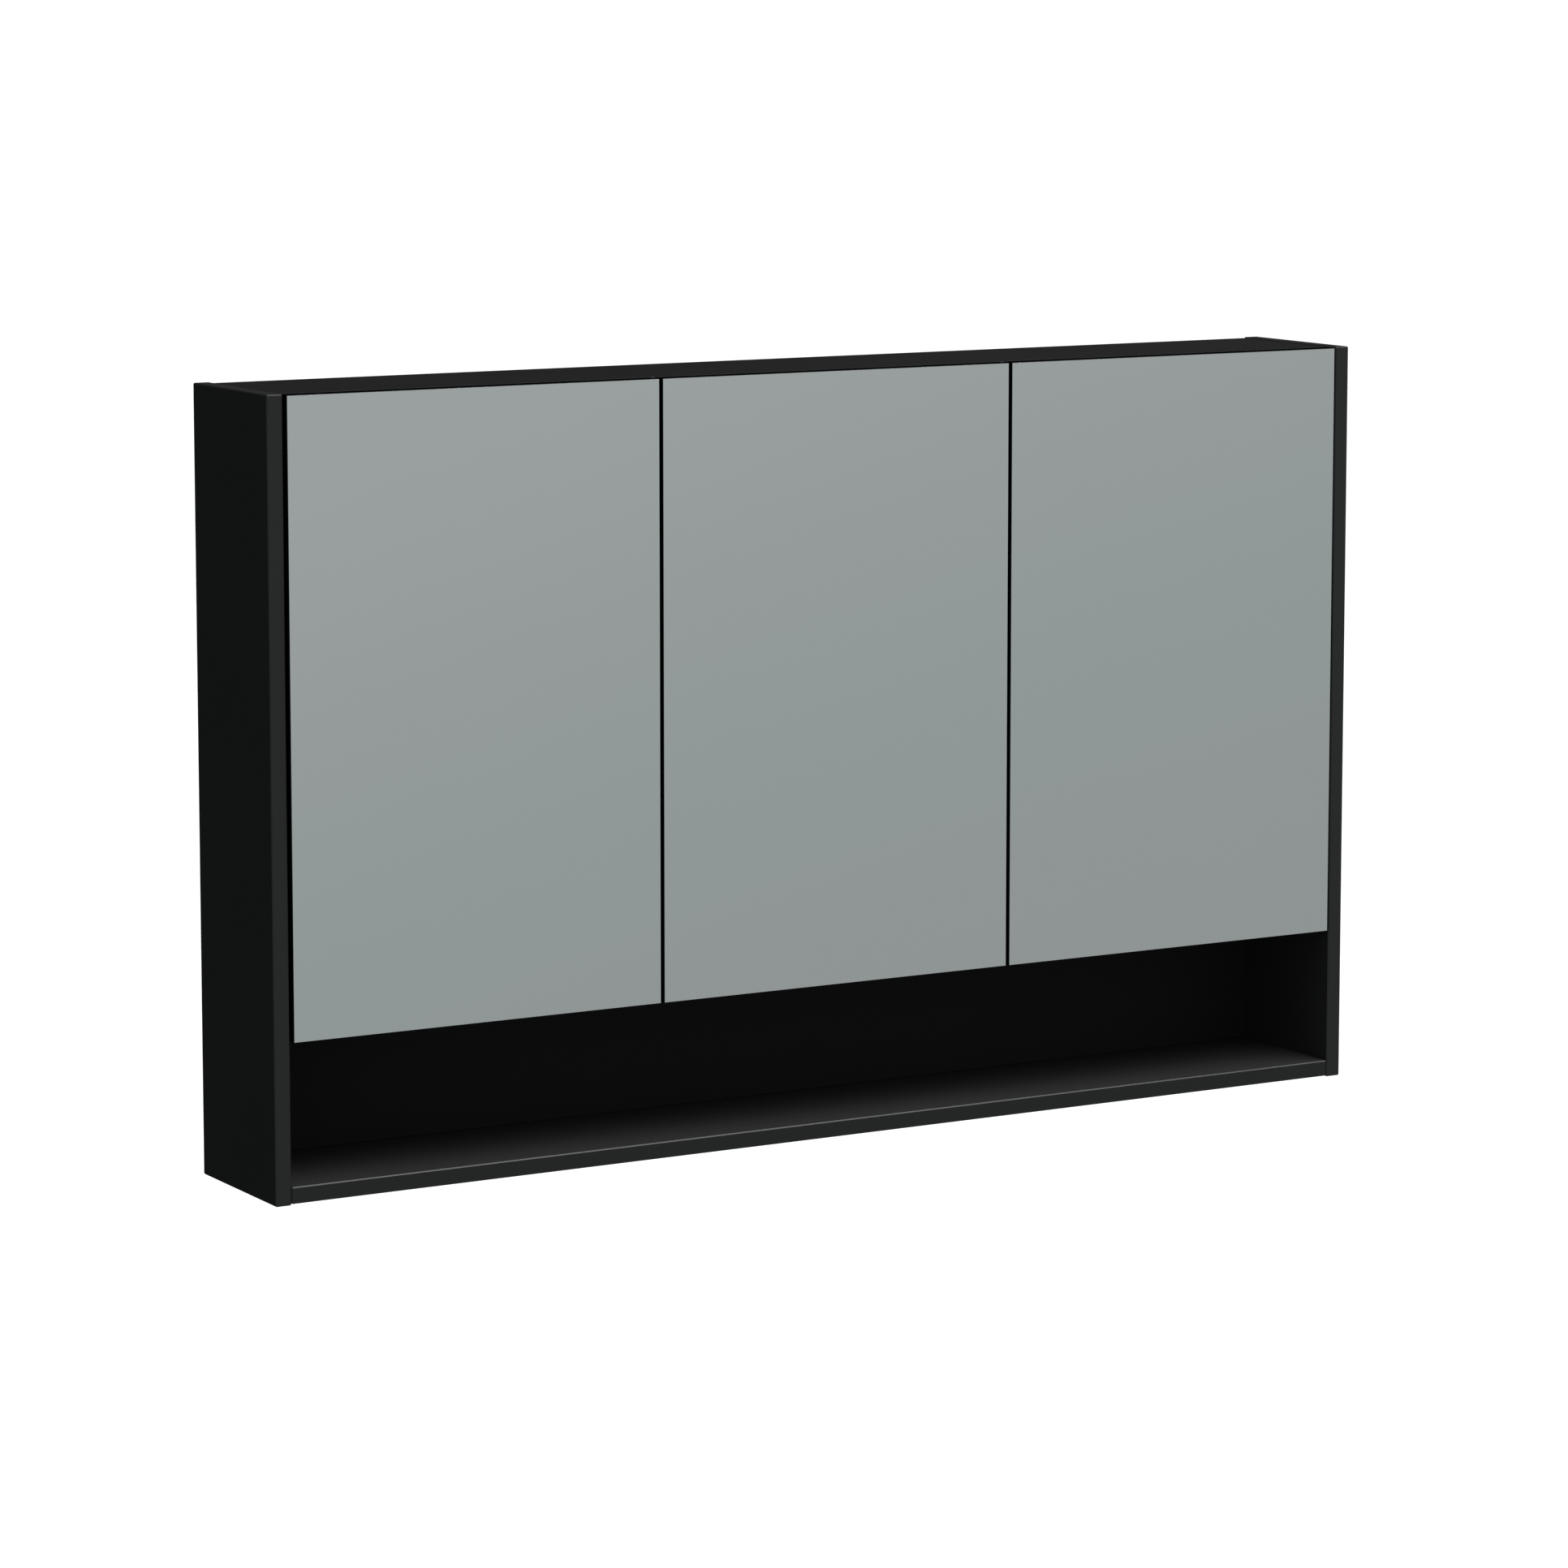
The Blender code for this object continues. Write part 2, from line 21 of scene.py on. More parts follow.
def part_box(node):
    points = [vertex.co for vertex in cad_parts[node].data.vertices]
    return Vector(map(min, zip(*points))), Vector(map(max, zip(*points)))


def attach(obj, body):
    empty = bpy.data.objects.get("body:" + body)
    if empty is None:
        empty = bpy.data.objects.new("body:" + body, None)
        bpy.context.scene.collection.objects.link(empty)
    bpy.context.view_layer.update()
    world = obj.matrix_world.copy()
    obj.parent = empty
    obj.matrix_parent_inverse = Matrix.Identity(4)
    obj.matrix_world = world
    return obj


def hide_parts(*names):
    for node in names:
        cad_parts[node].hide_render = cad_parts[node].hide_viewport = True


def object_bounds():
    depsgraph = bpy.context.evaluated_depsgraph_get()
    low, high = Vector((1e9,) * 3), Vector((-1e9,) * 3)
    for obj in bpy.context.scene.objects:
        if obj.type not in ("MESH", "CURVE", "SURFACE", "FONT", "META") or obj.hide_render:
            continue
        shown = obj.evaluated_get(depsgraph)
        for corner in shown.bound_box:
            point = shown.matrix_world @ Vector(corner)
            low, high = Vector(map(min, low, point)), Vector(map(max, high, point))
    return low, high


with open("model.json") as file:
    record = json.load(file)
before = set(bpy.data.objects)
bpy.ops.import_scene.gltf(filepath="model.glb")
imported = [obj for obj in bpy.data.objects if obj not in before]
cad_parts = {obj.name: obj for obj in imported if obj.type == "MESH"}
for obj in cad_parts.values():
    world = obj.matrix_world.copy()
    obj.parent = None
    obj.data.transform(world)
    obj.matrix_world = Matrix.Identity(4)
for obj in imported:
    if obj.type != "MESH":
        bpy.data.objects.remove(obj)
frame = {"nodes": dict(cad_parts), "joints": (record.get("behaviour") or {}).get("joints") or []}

LOG = logging.getLogger("mirror_cabinet")
CAD_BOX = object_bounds()
MM = 0.001

Colour = tuple[float, float, float, float]
Tree = bpy.types.NodeTree
Material = bpy.types.Material
Socket = bpy.types.NodeSocket
Value = Socket | float
Shade = Socket | Colour
Piece = bpy.types.Object
Places = Iterable[tuple[Vector, Iterable[float]]]
FaceTest = Callable[[Vector, Vector], bool]


class Bay(Enum):
    """The three doors, and the compartments behind them."""

    LEFT = "left"
    CENTRE = "centre"
    RIGHT = "right"

    @property
    def hand(self) -> int:
        """+1 where the door is hinged at its left edge, and -1 at its right edge."""
        return -1 if self is Bay.RIGHT else 1


class Level(Enum):
    """The two heights that hinges, shelves and bumpers come in."""

    LOWER = "lower"
    UPPER = "upper"


class Finish(Protocol):
    """What every finish offers."""

    name: str

    def make(self) -> Material:
        """Builds the material."""


class Slot(Enum):
    """The record's material slots."""

    BOARD = "black_board"
    BACK = "back_sheet"
    MIRROR = "mirror_glass"
    SHELF = "shelf_glass"
    NICKEL = "nickel_steel"
    ZINC = "zinc_steel"
    BUMPER = "clear_bumper"


# ---------------------------------------------------------------- materials


def srgb(code: str) -> Colour:
    """Turns an sRGB hex colour into linear values.

    Args:
        code: the colour, such as "#1e1e1e".

    Returns:
        Red, green and blue in linear light, and an alpha of one.
    """
    channels = [int(code[at : at + 2], 16) / 255 for at in (1, 3, 5)]
    red, green, blue = (c / 12.92 if c <= 0.04045 else ((c + 0.055) / 1.055) ** 2.4 for c in channels)
    return red, green, blue, 1.0


def add_node(
    tree: Tree, kind: str, inputs: dict[str | int, object] | None = None, **settings: object
) -> bpy.types.Node:
    """Adds a node with its settings, its values and its links.

    Args:
        tree: the node tree to add to.
        kind: the node's type name, without its "ShaderNode" start.
        inputs: a socket to link, or a value to set, for each named or numbered input.
        **settings: the node's own properties.

    Returns:
        The new node.
    """
    node = tree.nodes.new(f"ShaderNode{kind}")
    for name, value in settings.items():
        setattr(node, name, value)
    for name, value in (inputs or {}).items():
        if isinstance(value, bpy.types.NodeSocket):
            tree.links.new(value, node.inputs[name])
        else:
            node.inputs[name].default_value = value
    return node


def new_material(name: str) -> tuple[Material, Tree]:
    """Makes an empty node material.

    Args:
        name: the material's name.

    Returns:
        The material and its node tree.
    """
    material = bpy.data.materials.new(name)
    material.use_nodes = True
    material.node_tree.nodes.clear()
    return material, material.node_tree


def close_material(tree: Tree, inputs: dict[str, object]) -> None:
    """Adds the surface shader and the output.

    Args:
        tree: the material's node tree.
        inputs: the shader's values and links.
    """
    shader = add_node(tree, "BsdfPrincipled", inputs)
    add_node(tree, "OutputMaterial", {"Surface": shader.outputs["BSDF"]})


def math_node(tree: Tree, operation: str, first: Value, second: Value = 0.0) -> Socket:
    """One sum on two values or sockets.

    Args:
        tree: the node tree.
        operation: the Math node's operation.
        first: a value or socket.
        second: a value or socket.

    Returns:
        The result's socket.
    """
    return add_node(tree, "Math", {0: first, 1: second}, operation=operation).outputs[0]


def mix_colours(tree: Tree, share: Value, first: Shade, second: Shade) -> Socket:
    """Mixes two colours.

    Args:
        tree: the node tree.
        share: how much of the second colour shows.
        first: the first colour.
        second: the second colour.

    Returns:
        The mixed colour's socket.
    """
    node = add_node(tree, "Mix", {0: share, 6: first, 7: second}, data_type="RGBA")
    return node.outputs[2]


def mix_values(tree: Tree, share: Value, first: Value, second: Value) -> Socket:
    """Mixes two numbers, as mix_colours does colours.

    Args:
        tree: the node tree.
        share: how much of the second number shows.
        first: the first number.
        second: the second number.

    Returns:
        The mixed number's socket.
    """
    return add_node(tree, "Mix", {0: share, 2: first, 3: second}, data_type="FLOAT").outputs[0]


def spread(tree: Tree, value: Socket, low: float, high: float) -> Socket:
    """Maps a pattern that runs from 0 to 1 onto a range.

    Args:
        tree: the node tree.
        value: the pattern's socket.
        low: the result where the pattern is 0.
        high: the result where the pattern is 1.

    Returns:
        The mapped value's socket.
    """
    return add_node(tree, "MapRange", {"Value": value, "To Min": low, "To Max": high}).outputs["Result"]


def object_coordinates(tree: Tree) -> Socket:
    """The piece's own coordinates, in metres."""
    return add_node(tree, "TexCoord").outputs["Object"]


def noise(tree: Tree, coordinates: Socket, size: float, detail: float = 2.0) -> Socket:
    """A noise whose blotches have a real size.

    Args:
        tree: the node tree.
        coordinates: the coordinates' socket.
        size: the size of one blotch, in metres.
        detail: how many finer layers are added.

    Returns:
        The noise's value, from 0 to 1.
    """
    inputs = {"Vector": coordinates, "Scale": 1 / size, "Detail": detail}
    return add_node(tree, "TexNoise", inputs).outputs[0]


@dataclass(frozen=True)
class Edge:
    """A plane across a board, past which another layer begins.

    Attributes:
        axis: 0, 1 or 2, for X, Y or Z.
        place: where the plane crosses that axis.
        outward: +1 or -1, the side on which the other layer lies.
    """

    axis: int
    place: float
    outward: int


def past_edges(tree: Tree, coordinates: Socket, edges: Iterable[Edge]) -> Socket:
    """How far a point lies past the nearest of some planes.

    Args:
        tree: the node tree.
        coordinates: the coordinates' socket.
        edges: the planes.

    Returns:
        The distance in metres, which is negative inside all the planes.
    """
    axes = add_node(tree, "SeparateXYZ", {0: coordinates}).outputs
    farthest: Value = -1.0
    for edge in edges:
        past = math_node(tree, "SUBTRACT", axes[edge.axis], edge.place)
        past = math_node(tree, "MULTIPLY", past, float(edge.outward))
        farthest = math_node(tree, "MAXIMUM", farthest, past)
    return farthest


@dataclass(frozen=True)
class BlackMelamine:
    """Melamine-faced chipboard, pressed matte against a pearl-textured plate, with glued edge bands.

    The pressed texture breaks up the gloss, so the board reads as soft black and only its rounded arrises
    catch a line of light. The pearls are 0.3 mm on a real board and are drawn 1.4 mm wide, so that they show.
    """

    name: str = "matte_black_melamine"
    colour: str = "#272727"
    band_colour: str = "#262626"
    roughness: float = 0.56
    band_roughness: float = 0.40
    gloss: float = 0.30
    sawn_roughness: float = 0.92
    pearl: float = 1.4 * MM
    cloud: float = 160 * MM
    glue_joint: float = 0.26 * MM
    chip: float = 2.2 * MM
    bands: tuple[Edge, ...] = ()
    raw: tuple[Edge, ...] = ()

    def make(self) -> Material:
        """Builds the material.

        Returns:
            The material.
        """
        material, tree = new_material(self.name)
        place = object_coordinates(tree)
        pearls = noise(tree, place, self.pearl, 3.0)
        clouds = noise(tree, place, self.cloud, 2.0)
        tone = mix_colours(tree, spread(tree, clouds, 0.0, 0.5), srgb(self.colour), srgb("#313131"))
        tone = mix_colours(tree, spread(tree, pearls, 0.0, 0.35), tone, srgb("#1d1d1d"))
        height = pearls
        rough = spread(tree, pearls, self.roughness - 0.05, self.roughness + 0.07)
        if self.bands:
            tone, height, rough = self.banded(tree, place, tone, height, rough)
        if self.raw:
            tone, height, rough = self.raw_faced(tree, place, tone, height, rough)
        bump = add_node(tree, "Bump", {"Height": height, "Strength": 0.35, "Distance": 0.05 * MM})
        close_material(
            tree,
            {
                "Base Color": tone,
                "Roughness": rough,
                "Specular IOR Level": self.gloss,
                "Normal": bump.outputs["Normal"],
            },
        )
        return material

    def banded(
        self, tree: Tree, place: Socket, tone: Socket, height: Socket, rough: Socket
    ) -> tuple[Socket, Socket, Socket]:
        """Adds the edge bands: a black of their own, darkened as painted shade on the bottom board and the
        doors, behind a hairline glue joint.

        Args:
            tree: the node tree.
            place: the coordinates' socket.
            tone: the board's colour.
            height: the board's relief.
            rough: the board's roughness.

        Returns:
            The new colour, relief and roughness.
        """
        past = past_edges(tree, place, self.bands)
        on_band = math_node(tree, "GREATER_THAN", past, 0.0)
        joint = math_node(tree, "LESS_THAN", math_node(tree, "ABSOLUTE", past), self.glue_joint / 2)
        tone = mix_colours(tree, on_band, tone, srgb(self.band_colour))
        tone = mix_colours(tree, joint, tone, srgb("#050505"))
        height = math_node(tree, "SUBTRACT", height, math_node(tree, "MULTIPLY", joint, 3.0))
        rough = mix_values(tree, on_band, rough, self.band_roughness)
        return tone, height, rough

    def raw_faced(
        self, tree: Tree, place: Socket, tone: Socket, height: Socket, rough: Socket
    ) -> tuple[Socket, Socket, Socket]:
        """Adds the unbanded rear edges, where the sawn chips show.

        Args:
            tree: the node tree.
            place: the coordinates' socket.
            tone: the board's colour.
            height: the board's relief.
            rough: the board's roughness.

        Returns:
            The new colour, relief and roughness.
        """
        sawn = math_node(tree, "GREATER_THAN", past_edges(tree, place, self.raw), 0.0)
        chips = add_node(tree, "TexVoronoi", {"Vector": place, "Scale": 1 / self.chip})
        chip_tone = add_node(tree, "ValToRGB", {0: chips.outputs["Color"]})
        ramp = chip_tone.color_ramp
        ramp.elements[0].color = srgb("#6b5138")
        ramp.elements[1].color = srgb("#c8ab80")
        ramp.elements.new(0.5).color = srgb("#a3835a")
        tone = mix_colours(tree, sawn, tone, chip_tone.outputs[0])
        gaps = math_node(tree, "MULTIPLY", chips.outputs["Distance"], sawn)
        height = math_node(tree, "SUBTRACT", height, math_node(tree, "MULTIPLY", gaps, 2.0))
        rough = mix_values(tree, sawn, rough, self.sawn_roughness)
        return tone, height, rough


@dataclass(frozen=True)
class PaintedHardboard:
    """Hardboard, 3 mm: lacquered dull black on the face and raw brown fibre behind.

    The lacquer sinks into the fibre, so the face has next to no gloss and the niche looks deep.
    """

    name: str = "black_lacquered_hardboard"
    face_until: float = 0.0
    fibre: float = 1.1 * MM

    def make(self) -> Material:
        """Builds the material.

        Returns:
            The material.
        """
        material, tree = new_material(self.name)
        place = object_coordinates(tree)
        fibres = noise(tree, place, self.fibre, 4.0)
        clouds = noise(tree, place, 70 * MM, 3.0)
        face = mix_colours(tree, fibres, srgb("#1f1d1d"), srgb("#282626"))
        rear = mix_colours(tree, fibres, srgb("#7d5a3a"), srgb("#a98258"))
        rear = mix_colours(tree, spread(tree, clouds, 0.0, 0.6), rear, srgb("#6b4c31"))
        behind = past_edges(tree, place, (Edge(1, self.face_until, 1),))
        behind = math_node(tree, "GREATER_THAN", behind, 0.0)
        tone = mix_colours(tree, behind, face, rear)
        bump = add_node(tree, "Bump", {"Height": fibres, "Strength": 0.3, "Distance": 0.06 * MM})
        rough = spread(tree, fibres, 0.62, 0.78)
        close_material(
            tree,
            {
                "Base Color": tone,
                "Roughness": rough,
                "Specular IOR Level": 0.08,
                "Normal": bump.outputs["Normal"],
            },
        )
        return material


@dataclass(frozen=True)
class SilveredMirror:
    """Float glass, 3 mm, silvered behind and painted grey on the back, with ground and polished arrises.

    The silver gives an even, slightly cool image. The ground rim has no silver, and its glass is painted near
    black as painted shade, so that it shows as a dark line.
    """

    name: str = "silvered_float_glass"
    front: float = 0.0
    back: float = 0.0
    silver: str = "#f3f3f3"
    rim_roughness: float = 0.5
    skin: float = 0.002 * MM
    paint: float = 0.05 * MM

    def make(self) -> Material:
        """Builds the material.

        Returns:
            The material.
        """
        material, tree = new_material(self.name)
        place = object_coordinates(tree)
        haze = noise(tree, place, 240 * MM, 3.0)
        grind = noise(tree, place, 1.0 * MM, 2.0)
        is_rim = math_node(
            tree, "GREATER_THAN", past_edges(tree, place, (Edge(1, self.front + self.skin, 1),)), 0.0
        )
        is_back = math_node(
            tree, "GREATER_THAN", past_edges(tree, place, (Edge(1, self.back - self.paint, 1),)), 0.0
        )
        silver = mix_colours(tree, spread(tree, haze, 0.0, 0.12), srgb(self.silver), srgb("#ebedec"))
        # painted shade: the unsilvered rim is dark glass, drawn darker than bare glass so that it reads as a
        # dark line
        glass = mix_colours(tree, grind, srgb("#0c1210"), srgb("#18211e"))
        tone = mix_colours(tree, is_rim, silver, glass)
        tone = mix_colours(tree, is_back, tone, mix_colours(tree, grind, srgb("#5c6064"), srgb("#6d7276")))
        metal = math_node(tree, "SUBTRACT", 1.0, is_rim)
        rough = spread(tree, haze, 0.012, 0.03)
        rough = mix_values(tree, is_rim, rough, self.rim_roughness)
        close_material(
            tree, {"Base Color": tone, "Metallic": metal, "Roughness": rough, "Specular IOR Level": 0.05}
        )
        return material


@dataclass(frozen=True)
class ToughenedGlass:
    """Clear toughened glass, 6 mm, with polished edges that gather the glass's green."""

    name: str = "clear_toughened_glass"
    edges: tuple[Edge, ...] = ()
    edge_roughness: float = 0.12

    def make(self) -> Material:
        """Builds the material.

        Returns:
            The material.
        """
        material, tree = new_material(self.name)
        place = object_coordinates(tree)
        smears = noise(tree, place, 60 * MM, 4.0)
        rim = math_node(tree, "GREATER_THAN", past_edges(tree, place, self.edges), 0.0)
        tone = mix_colours(tree, spread(tree, smears, 0.0, 1.0), srgb("#f4faf8"), srgb("#ecf5f2"))
        tone = mix_colours(tree, rim, tone, srgb("#8fc4b2"))
        rough = spread(tree, smears, 0.008, 0.045)
        rough = mix_values(tree, rim, rough, self.edge_roughness)
        close_material(
            tree,
            {"Base Color": tone, "Roughness": rough, "IOR": 1.52, "Transmission Weight": 1.0},
        )
        return material


@dataclass(frozen=True)
class PlatedSteel:
    """Pressed steel with a bright metal plating, brushed lightly by the press and the tumbling drum.

    Nickel stays warm and fairly sharp. Zinc is bluer and duller, with a faint crystal pattern.
    """

    name: str
    colour: str
    dark: str
    roughness: float
    grain: float = 0.8 * MM
    crystal: float = 0.0

    def make(self) -> Material:
        """Builds the material.

        Returns:
            The material.
        """
        material, tree = new_material(self.name)
        place = object_coordinates(tree)
        drawn = add_node(tree, "Mapping", {"Vector": place, "Scale": (1.0, 1.0, 0.12)}).outputs[0]
        grain = noise(tree, drawn, self.grain, 3.0)
        stains = noise(tree, place, 14 * MM, 3.0)
        tone = mix_colours(tree, spread(tree, stains, 0.0, 0.5), srgb(self.colour), srgb(self.dark))
        rough: Socket = spread(tree, grain, self.roughness - 0.05, self.roughness + 0.08)
        if self.crystal:
            cells = add_node(tree, "TexVoronoi", {"Vector": place, "Scale": 1 / self.crystal})
            facets = add_node(tree, "RGBToBW", {0: cells.outputs["Color"]}).outputs[0]
            tone = mix_colours(tree, spread(tree, facets, 0.0, 0.6), tone, srgb(self.dark))
            rough = math_node(tree, "ADD", rough, spread(tree, facets, -0.06, 0.08))
        bump = add_node(tree, "Bump", {"Height": grain, "Strength": 0.2, "Distance": 0.02 * MM})
        close_material(
            tree,
            {"Base Color": tone, "Metallic": 1.0, "Roughness": rough, "Normal": bump.outputs["Normal"]},
        )
        return material


@dataclass(frozen=True)
class SoftPolyurethane:
    """Clear cast polyurethane: a soft dome with a faint yellow cast and a dust-dulled skin."""

    name: str = "clear_soft_polyurethane"

    def make(self) -> Material:
        """Builds the material.

        Returns:
            The material.
        """
        material, tree = new_material(self.name)
        dust = noise(tree, object_coordinates(tree), 1.5 * MM, 3.0)
        close_material(
            tree,
            {
                "Base Color": mix_colours(tree, dust, srgb("#e9ebe6"), srgb("#d9dbd2")),
                "Roughness": spread(tree, dust, 0.15, 0.3),
                "IOR": 1.49,
                "Transmission Weight": 0.75,
            },
        )
        return material


@dataclass(frozen=True)
class MouldedPlastic:
    """Injection-moulded black ABS with the fine spark-eroded texture of its mould."""

    name: str = "moulded_black_abs"
    colour: str = "#191919"

    def make(self) -> Material:
        """Builds the material.

        Returns:
            The material.
        """
        material, tree = new_material(self.name)
        sparks = noise(tree, object_coordinates(tree), 0.7 * MM, 2.0)
        bump = add_node(tree, "Bump", {"Height": sparks, "Strength": 0.3, "Distance": 0.03 * MM})
        close_material(
            tree,
            {
                "Base Color": mix_colours(tree, sparks, srgb(self.colour), srgb("#222222")),
                "Roughness": spread(tree, sparks, 0.42, 0.55),
                "IOR": 1.53,
                "Normal": bump.outputs["Normal"],
            },
        )
        return material


NICKEL = PlatedSteel("nickel_plated_pressed_steel", "#d6d2cc", "#b9b4ac", 0.24)
BRIGHT_SCREW = PlatedSteel("nickel_plated_screw_steel", "#c9c6c1", "#9d9992", 0.3, grain=0.5 * MM)
ZINC = PlatedSteel("zinc_plated_steel", "#bcc2c6", "#9aa1a7", 0.36, crystal=5 * MM)
BLACK_SCREW = PlatedSteel("black_phosphated_screw_steel", "#3a3a3c", "#232325", 0.42, grain=0.5 * MM)
SOFT_CLEAR = SoftPolyurethane()
BLACK_ABS = MouldedPlastic()


@cache
def material_of(finish: Finish) -> Material:
    """The material of a finish, made once."""
    return finish.make()


# ---------------------------------------------------------------- modelling


def clear_selection() -> None:
    """Leaves edit mode, with nothing selected."""
    active = bpy.context.view_layer.objects.active
    if active is not None and active.mode != "OBJECT":
        bpy.ops.object.mode_set(mode="OBJECT")
    bpy.ops.object.select_all(action="DESELECT")


def select_only(piece: Piece) -> None:
    """Selects one piece and makes it active.

    Args:
        piece: the piece.
    """
    clear_selection()
    piece.select_set(True)
    bpy.context.view_layer.objects.active = piece


@contextmanager
def editing(piece: Piece) -> Iterator[None]:
    """Edit mode on one piece, by faces, with nothing selected at the start.

    Args:
        piece: the piece.
    """
    select_only(piece)
    bpy.ops.object.mode_set(mode="EDIT")
    bpy.ops.mesh.select_mode(type="FACE")
    bpy.ops.mesh.select_all(action="DESELECT")
    yield
    bpy.ops.object.mode_set(mode="OBJECT")


def pick_faces(piece: Piece, wanted: FaceTest) -> None:
    """In edit mode, selects some faces and no others.

    Args:
        piece: the piece being edited.
        wanted: says of a face's middle and normal whether it is wanted.
    """
    bpy.ops.mesh.select_all(action="DESELECT")
    mesh = bmesh.from_edit_mesh(piece.data)
    for face in mesh.faces:
        if wanted(face.calc_center_median(), face.normal):
            face.select_set(True)
    mesh.select_flush_mode()
    bmesh.update_edit_mesh(piece.data)


def facing_up_at(height: float) -> FaceTest:
    """A test for the faces that look up at some height."""
    return lambda middle, normal: normal.z > 0.9 and abs(middle.z - height) < 0.02 * MM


def new_drum(name: str, radius: float, height: float, sides: int) -> Piece:
    """A drum that stands on the origin.

    Args:
        name: the piece's name.
        radius: its radius.
        height: its height.
        sides: how many sides its round has.

    Returns:
        The drum.
    """
    clear_selection()
    bpy.ops.mesh.primitive_cylinder_add(
        vertices=sides, radius=radius, depth=height, location=(0, 0, height / 2)
    )
    drum = bpy.context.object
    drum.name = name
    bpy.ops.object.transform_apply(location=True, rotation=True, scale=True)
    return drum


def new_block(name: str, low: Iterable[float], high: Iterable[float]) -> Piece:
    """A block between two opposite corners.

    Args:
        name: the piece's name.
        low: its lowest corner.
        high: its highest corner.

    Returns:
        The block.
    """
    low, high = Vector(low), Vector(high)
    clear_selection()
    bpy.ops.mesh.primitive_cube_add(size=1, location=(low + high) / 2, scale=high - low)
    block = bpy.context.object
    block.name = name
    bpy.ops.object.transform_apply(location=True, rotation=True, scale=True)
    return block


def round_rim(piece: Piece, height: float, width: float, segments: int) -> None:
    """Rounds the rim of the faces that look up at some height.

    Args:
        piece: the piece to edit.
        height: the height of the faces.
        width: the width of the rounding.
        segments: how many faces the rounding has.
    """
    with editing(piece):
        pick_faces(piece, facing_up_at(height))
        bpy.ops.mesh.region_to_loop()
        bpy.ops.mesh.bevel(offset=width, segments=segments, affect="EDGES")


def raise_step(piece: Piece, height: float, inset: float, rise: float) -> None:
    """Insets the faces that look up at some height, and raises or sinks what is inside.

    Args:
        piece: the piece to edit.
        height: the height of the faces.
        inset: how far in the step starts.
        rise: how far the step rises, or sinks where it is negative.
    """
    with editing(piece):
        pick_faces(piece, facing_up_at(height))
        bpy.ops.mesh.inset(thickness=inset)
        bpy.ops.mesh.extrude_region_move(TRANSFORM_OT_translate={"value": (0, 0, rise)})


def cut(piece: Piece, cutter: Piece) -> None:
    """Cuts one piece from another and removes the cutter.

    Args:
        piece: the piece that stays.
        cutter: the piece that is cut away.
    """
    select_only(piece)
    modifier = piece.modifiers.new("cut", "BOOLEAN")
    modifier.operation = "DIFFERENCE"
    modifier.solver = "EXACT"
    modifier.object = cutter
    bpy.ops.object.modifier_apply(modifier=modifier.name)
    bpy.data.objects.remove(cutter, do_unlink=True)


def cut_cross(piece: Piece, top: float, reach: float, depth: float) -> None:
    """Cuts a tapered cross recess for a screwdriver.

    Args:
        piece: the screw head.
        top: the height of its top.
        reach: the cross's whole length.
        depth: the recess's depth.
    """
    for name, along in (("wide_arm", (1.0, 0.28)), ("tall_arm", (0.28, 1.0))):
        half = Vector((along[0] * reach / 2, along[1] * reach / 2))
        arm = new_block(name, (-half.x, -half.y, top - depth), (half.x, half.y, top + depth))
        with editing(arm):
            pick_faces(arm, lambda middle, normal: normal.z < -0.9)
            bpy.ops.transform.resize(value=(0.55, 0.55, 1.0))
        cut(piece, arm)


def smooth(piece: Piece, angle: float = 32.0) -> None:
    """Shades a piece smooth, and keeps the edges that are sharper than some degrees."""
    select_only(piece)
    bpy.ops.object.shade_smooth_by_angle(angle=math.radians(angle))


def turn_to(axis: Iterable[float]) -> Matrix:
    """The turn that takes +Z to some direction."""
    return Vector((0, 0, 1)).rotation_difference(Vector(axis)).to_matrix().to_4x4()


def copied(master: Piece, name: str, places: Places) -> Piece:
    """One piece made of copies of a master, each with its foot at a place and its top along a direction.

    Args:
        master: the piece to copy, which stands on the origin along +Z.
        name: the new piece's name.
        places: the foot and the direction of each copy.

    Returns:
        The new piece, with its own mesh, at the origin.
    """
    joined = bmesh.new()
    for foot, direction in places:
        mesh = master.data.copy()
        mesh.transform(Matrix.Translation(foot) @ turn_to(direction))
        joined.from_mesh(mesh)
        bpy.data.meshes.remove(mesh)
    data = master.data.copy()
    joined.to_mesh(data)
    joined.free()
    data.name = name
    piece = bpy.data.objects.new(name, data)
    bpy.context.scene.collection.objects.link(piece)
    return piece


@dataclass
class Assembly:
    """A group of pieces that rides on one body or more."""

    fittings: "Fittings"
    made: list[str] = field(default_factory=list)

    def build(self) -> None:
        """Builds and dresses the group's pieces."""
        raise NotImplementedError

    def keep(self, piece: Piece, body: str, slot: Slot, finish: Finish) -> Piece:
        """Finishes a new piece and lets it ride.

        Args:
            piece: the new piece, in place.
            body: the body that it moves with.
            slot: the record's slot for the piece; not used.
            finish: its finish.

        Returns:
            The piece.
        """
        piece.data.materials.clear()
        piece.data.materials.append(material_of(finish))
        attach(piece, body)
        self.made.append(piece.name)
        LOG.info("made %s on %s, %d faces", piece.name, body, len(piece.data.polygons))
        return piece

    def dress(self, node: str, finish: Finish) -> None:
        """Gives a CAD node its finish.

        Args:
            node: the node's name.
            finish: its finish.
        """
        materials = frame["nodes"][node].data.materials
        materials.clear()
        materials.append(material_of(finish))
        LOG.info("dressed %s in %s", node, finish.name)


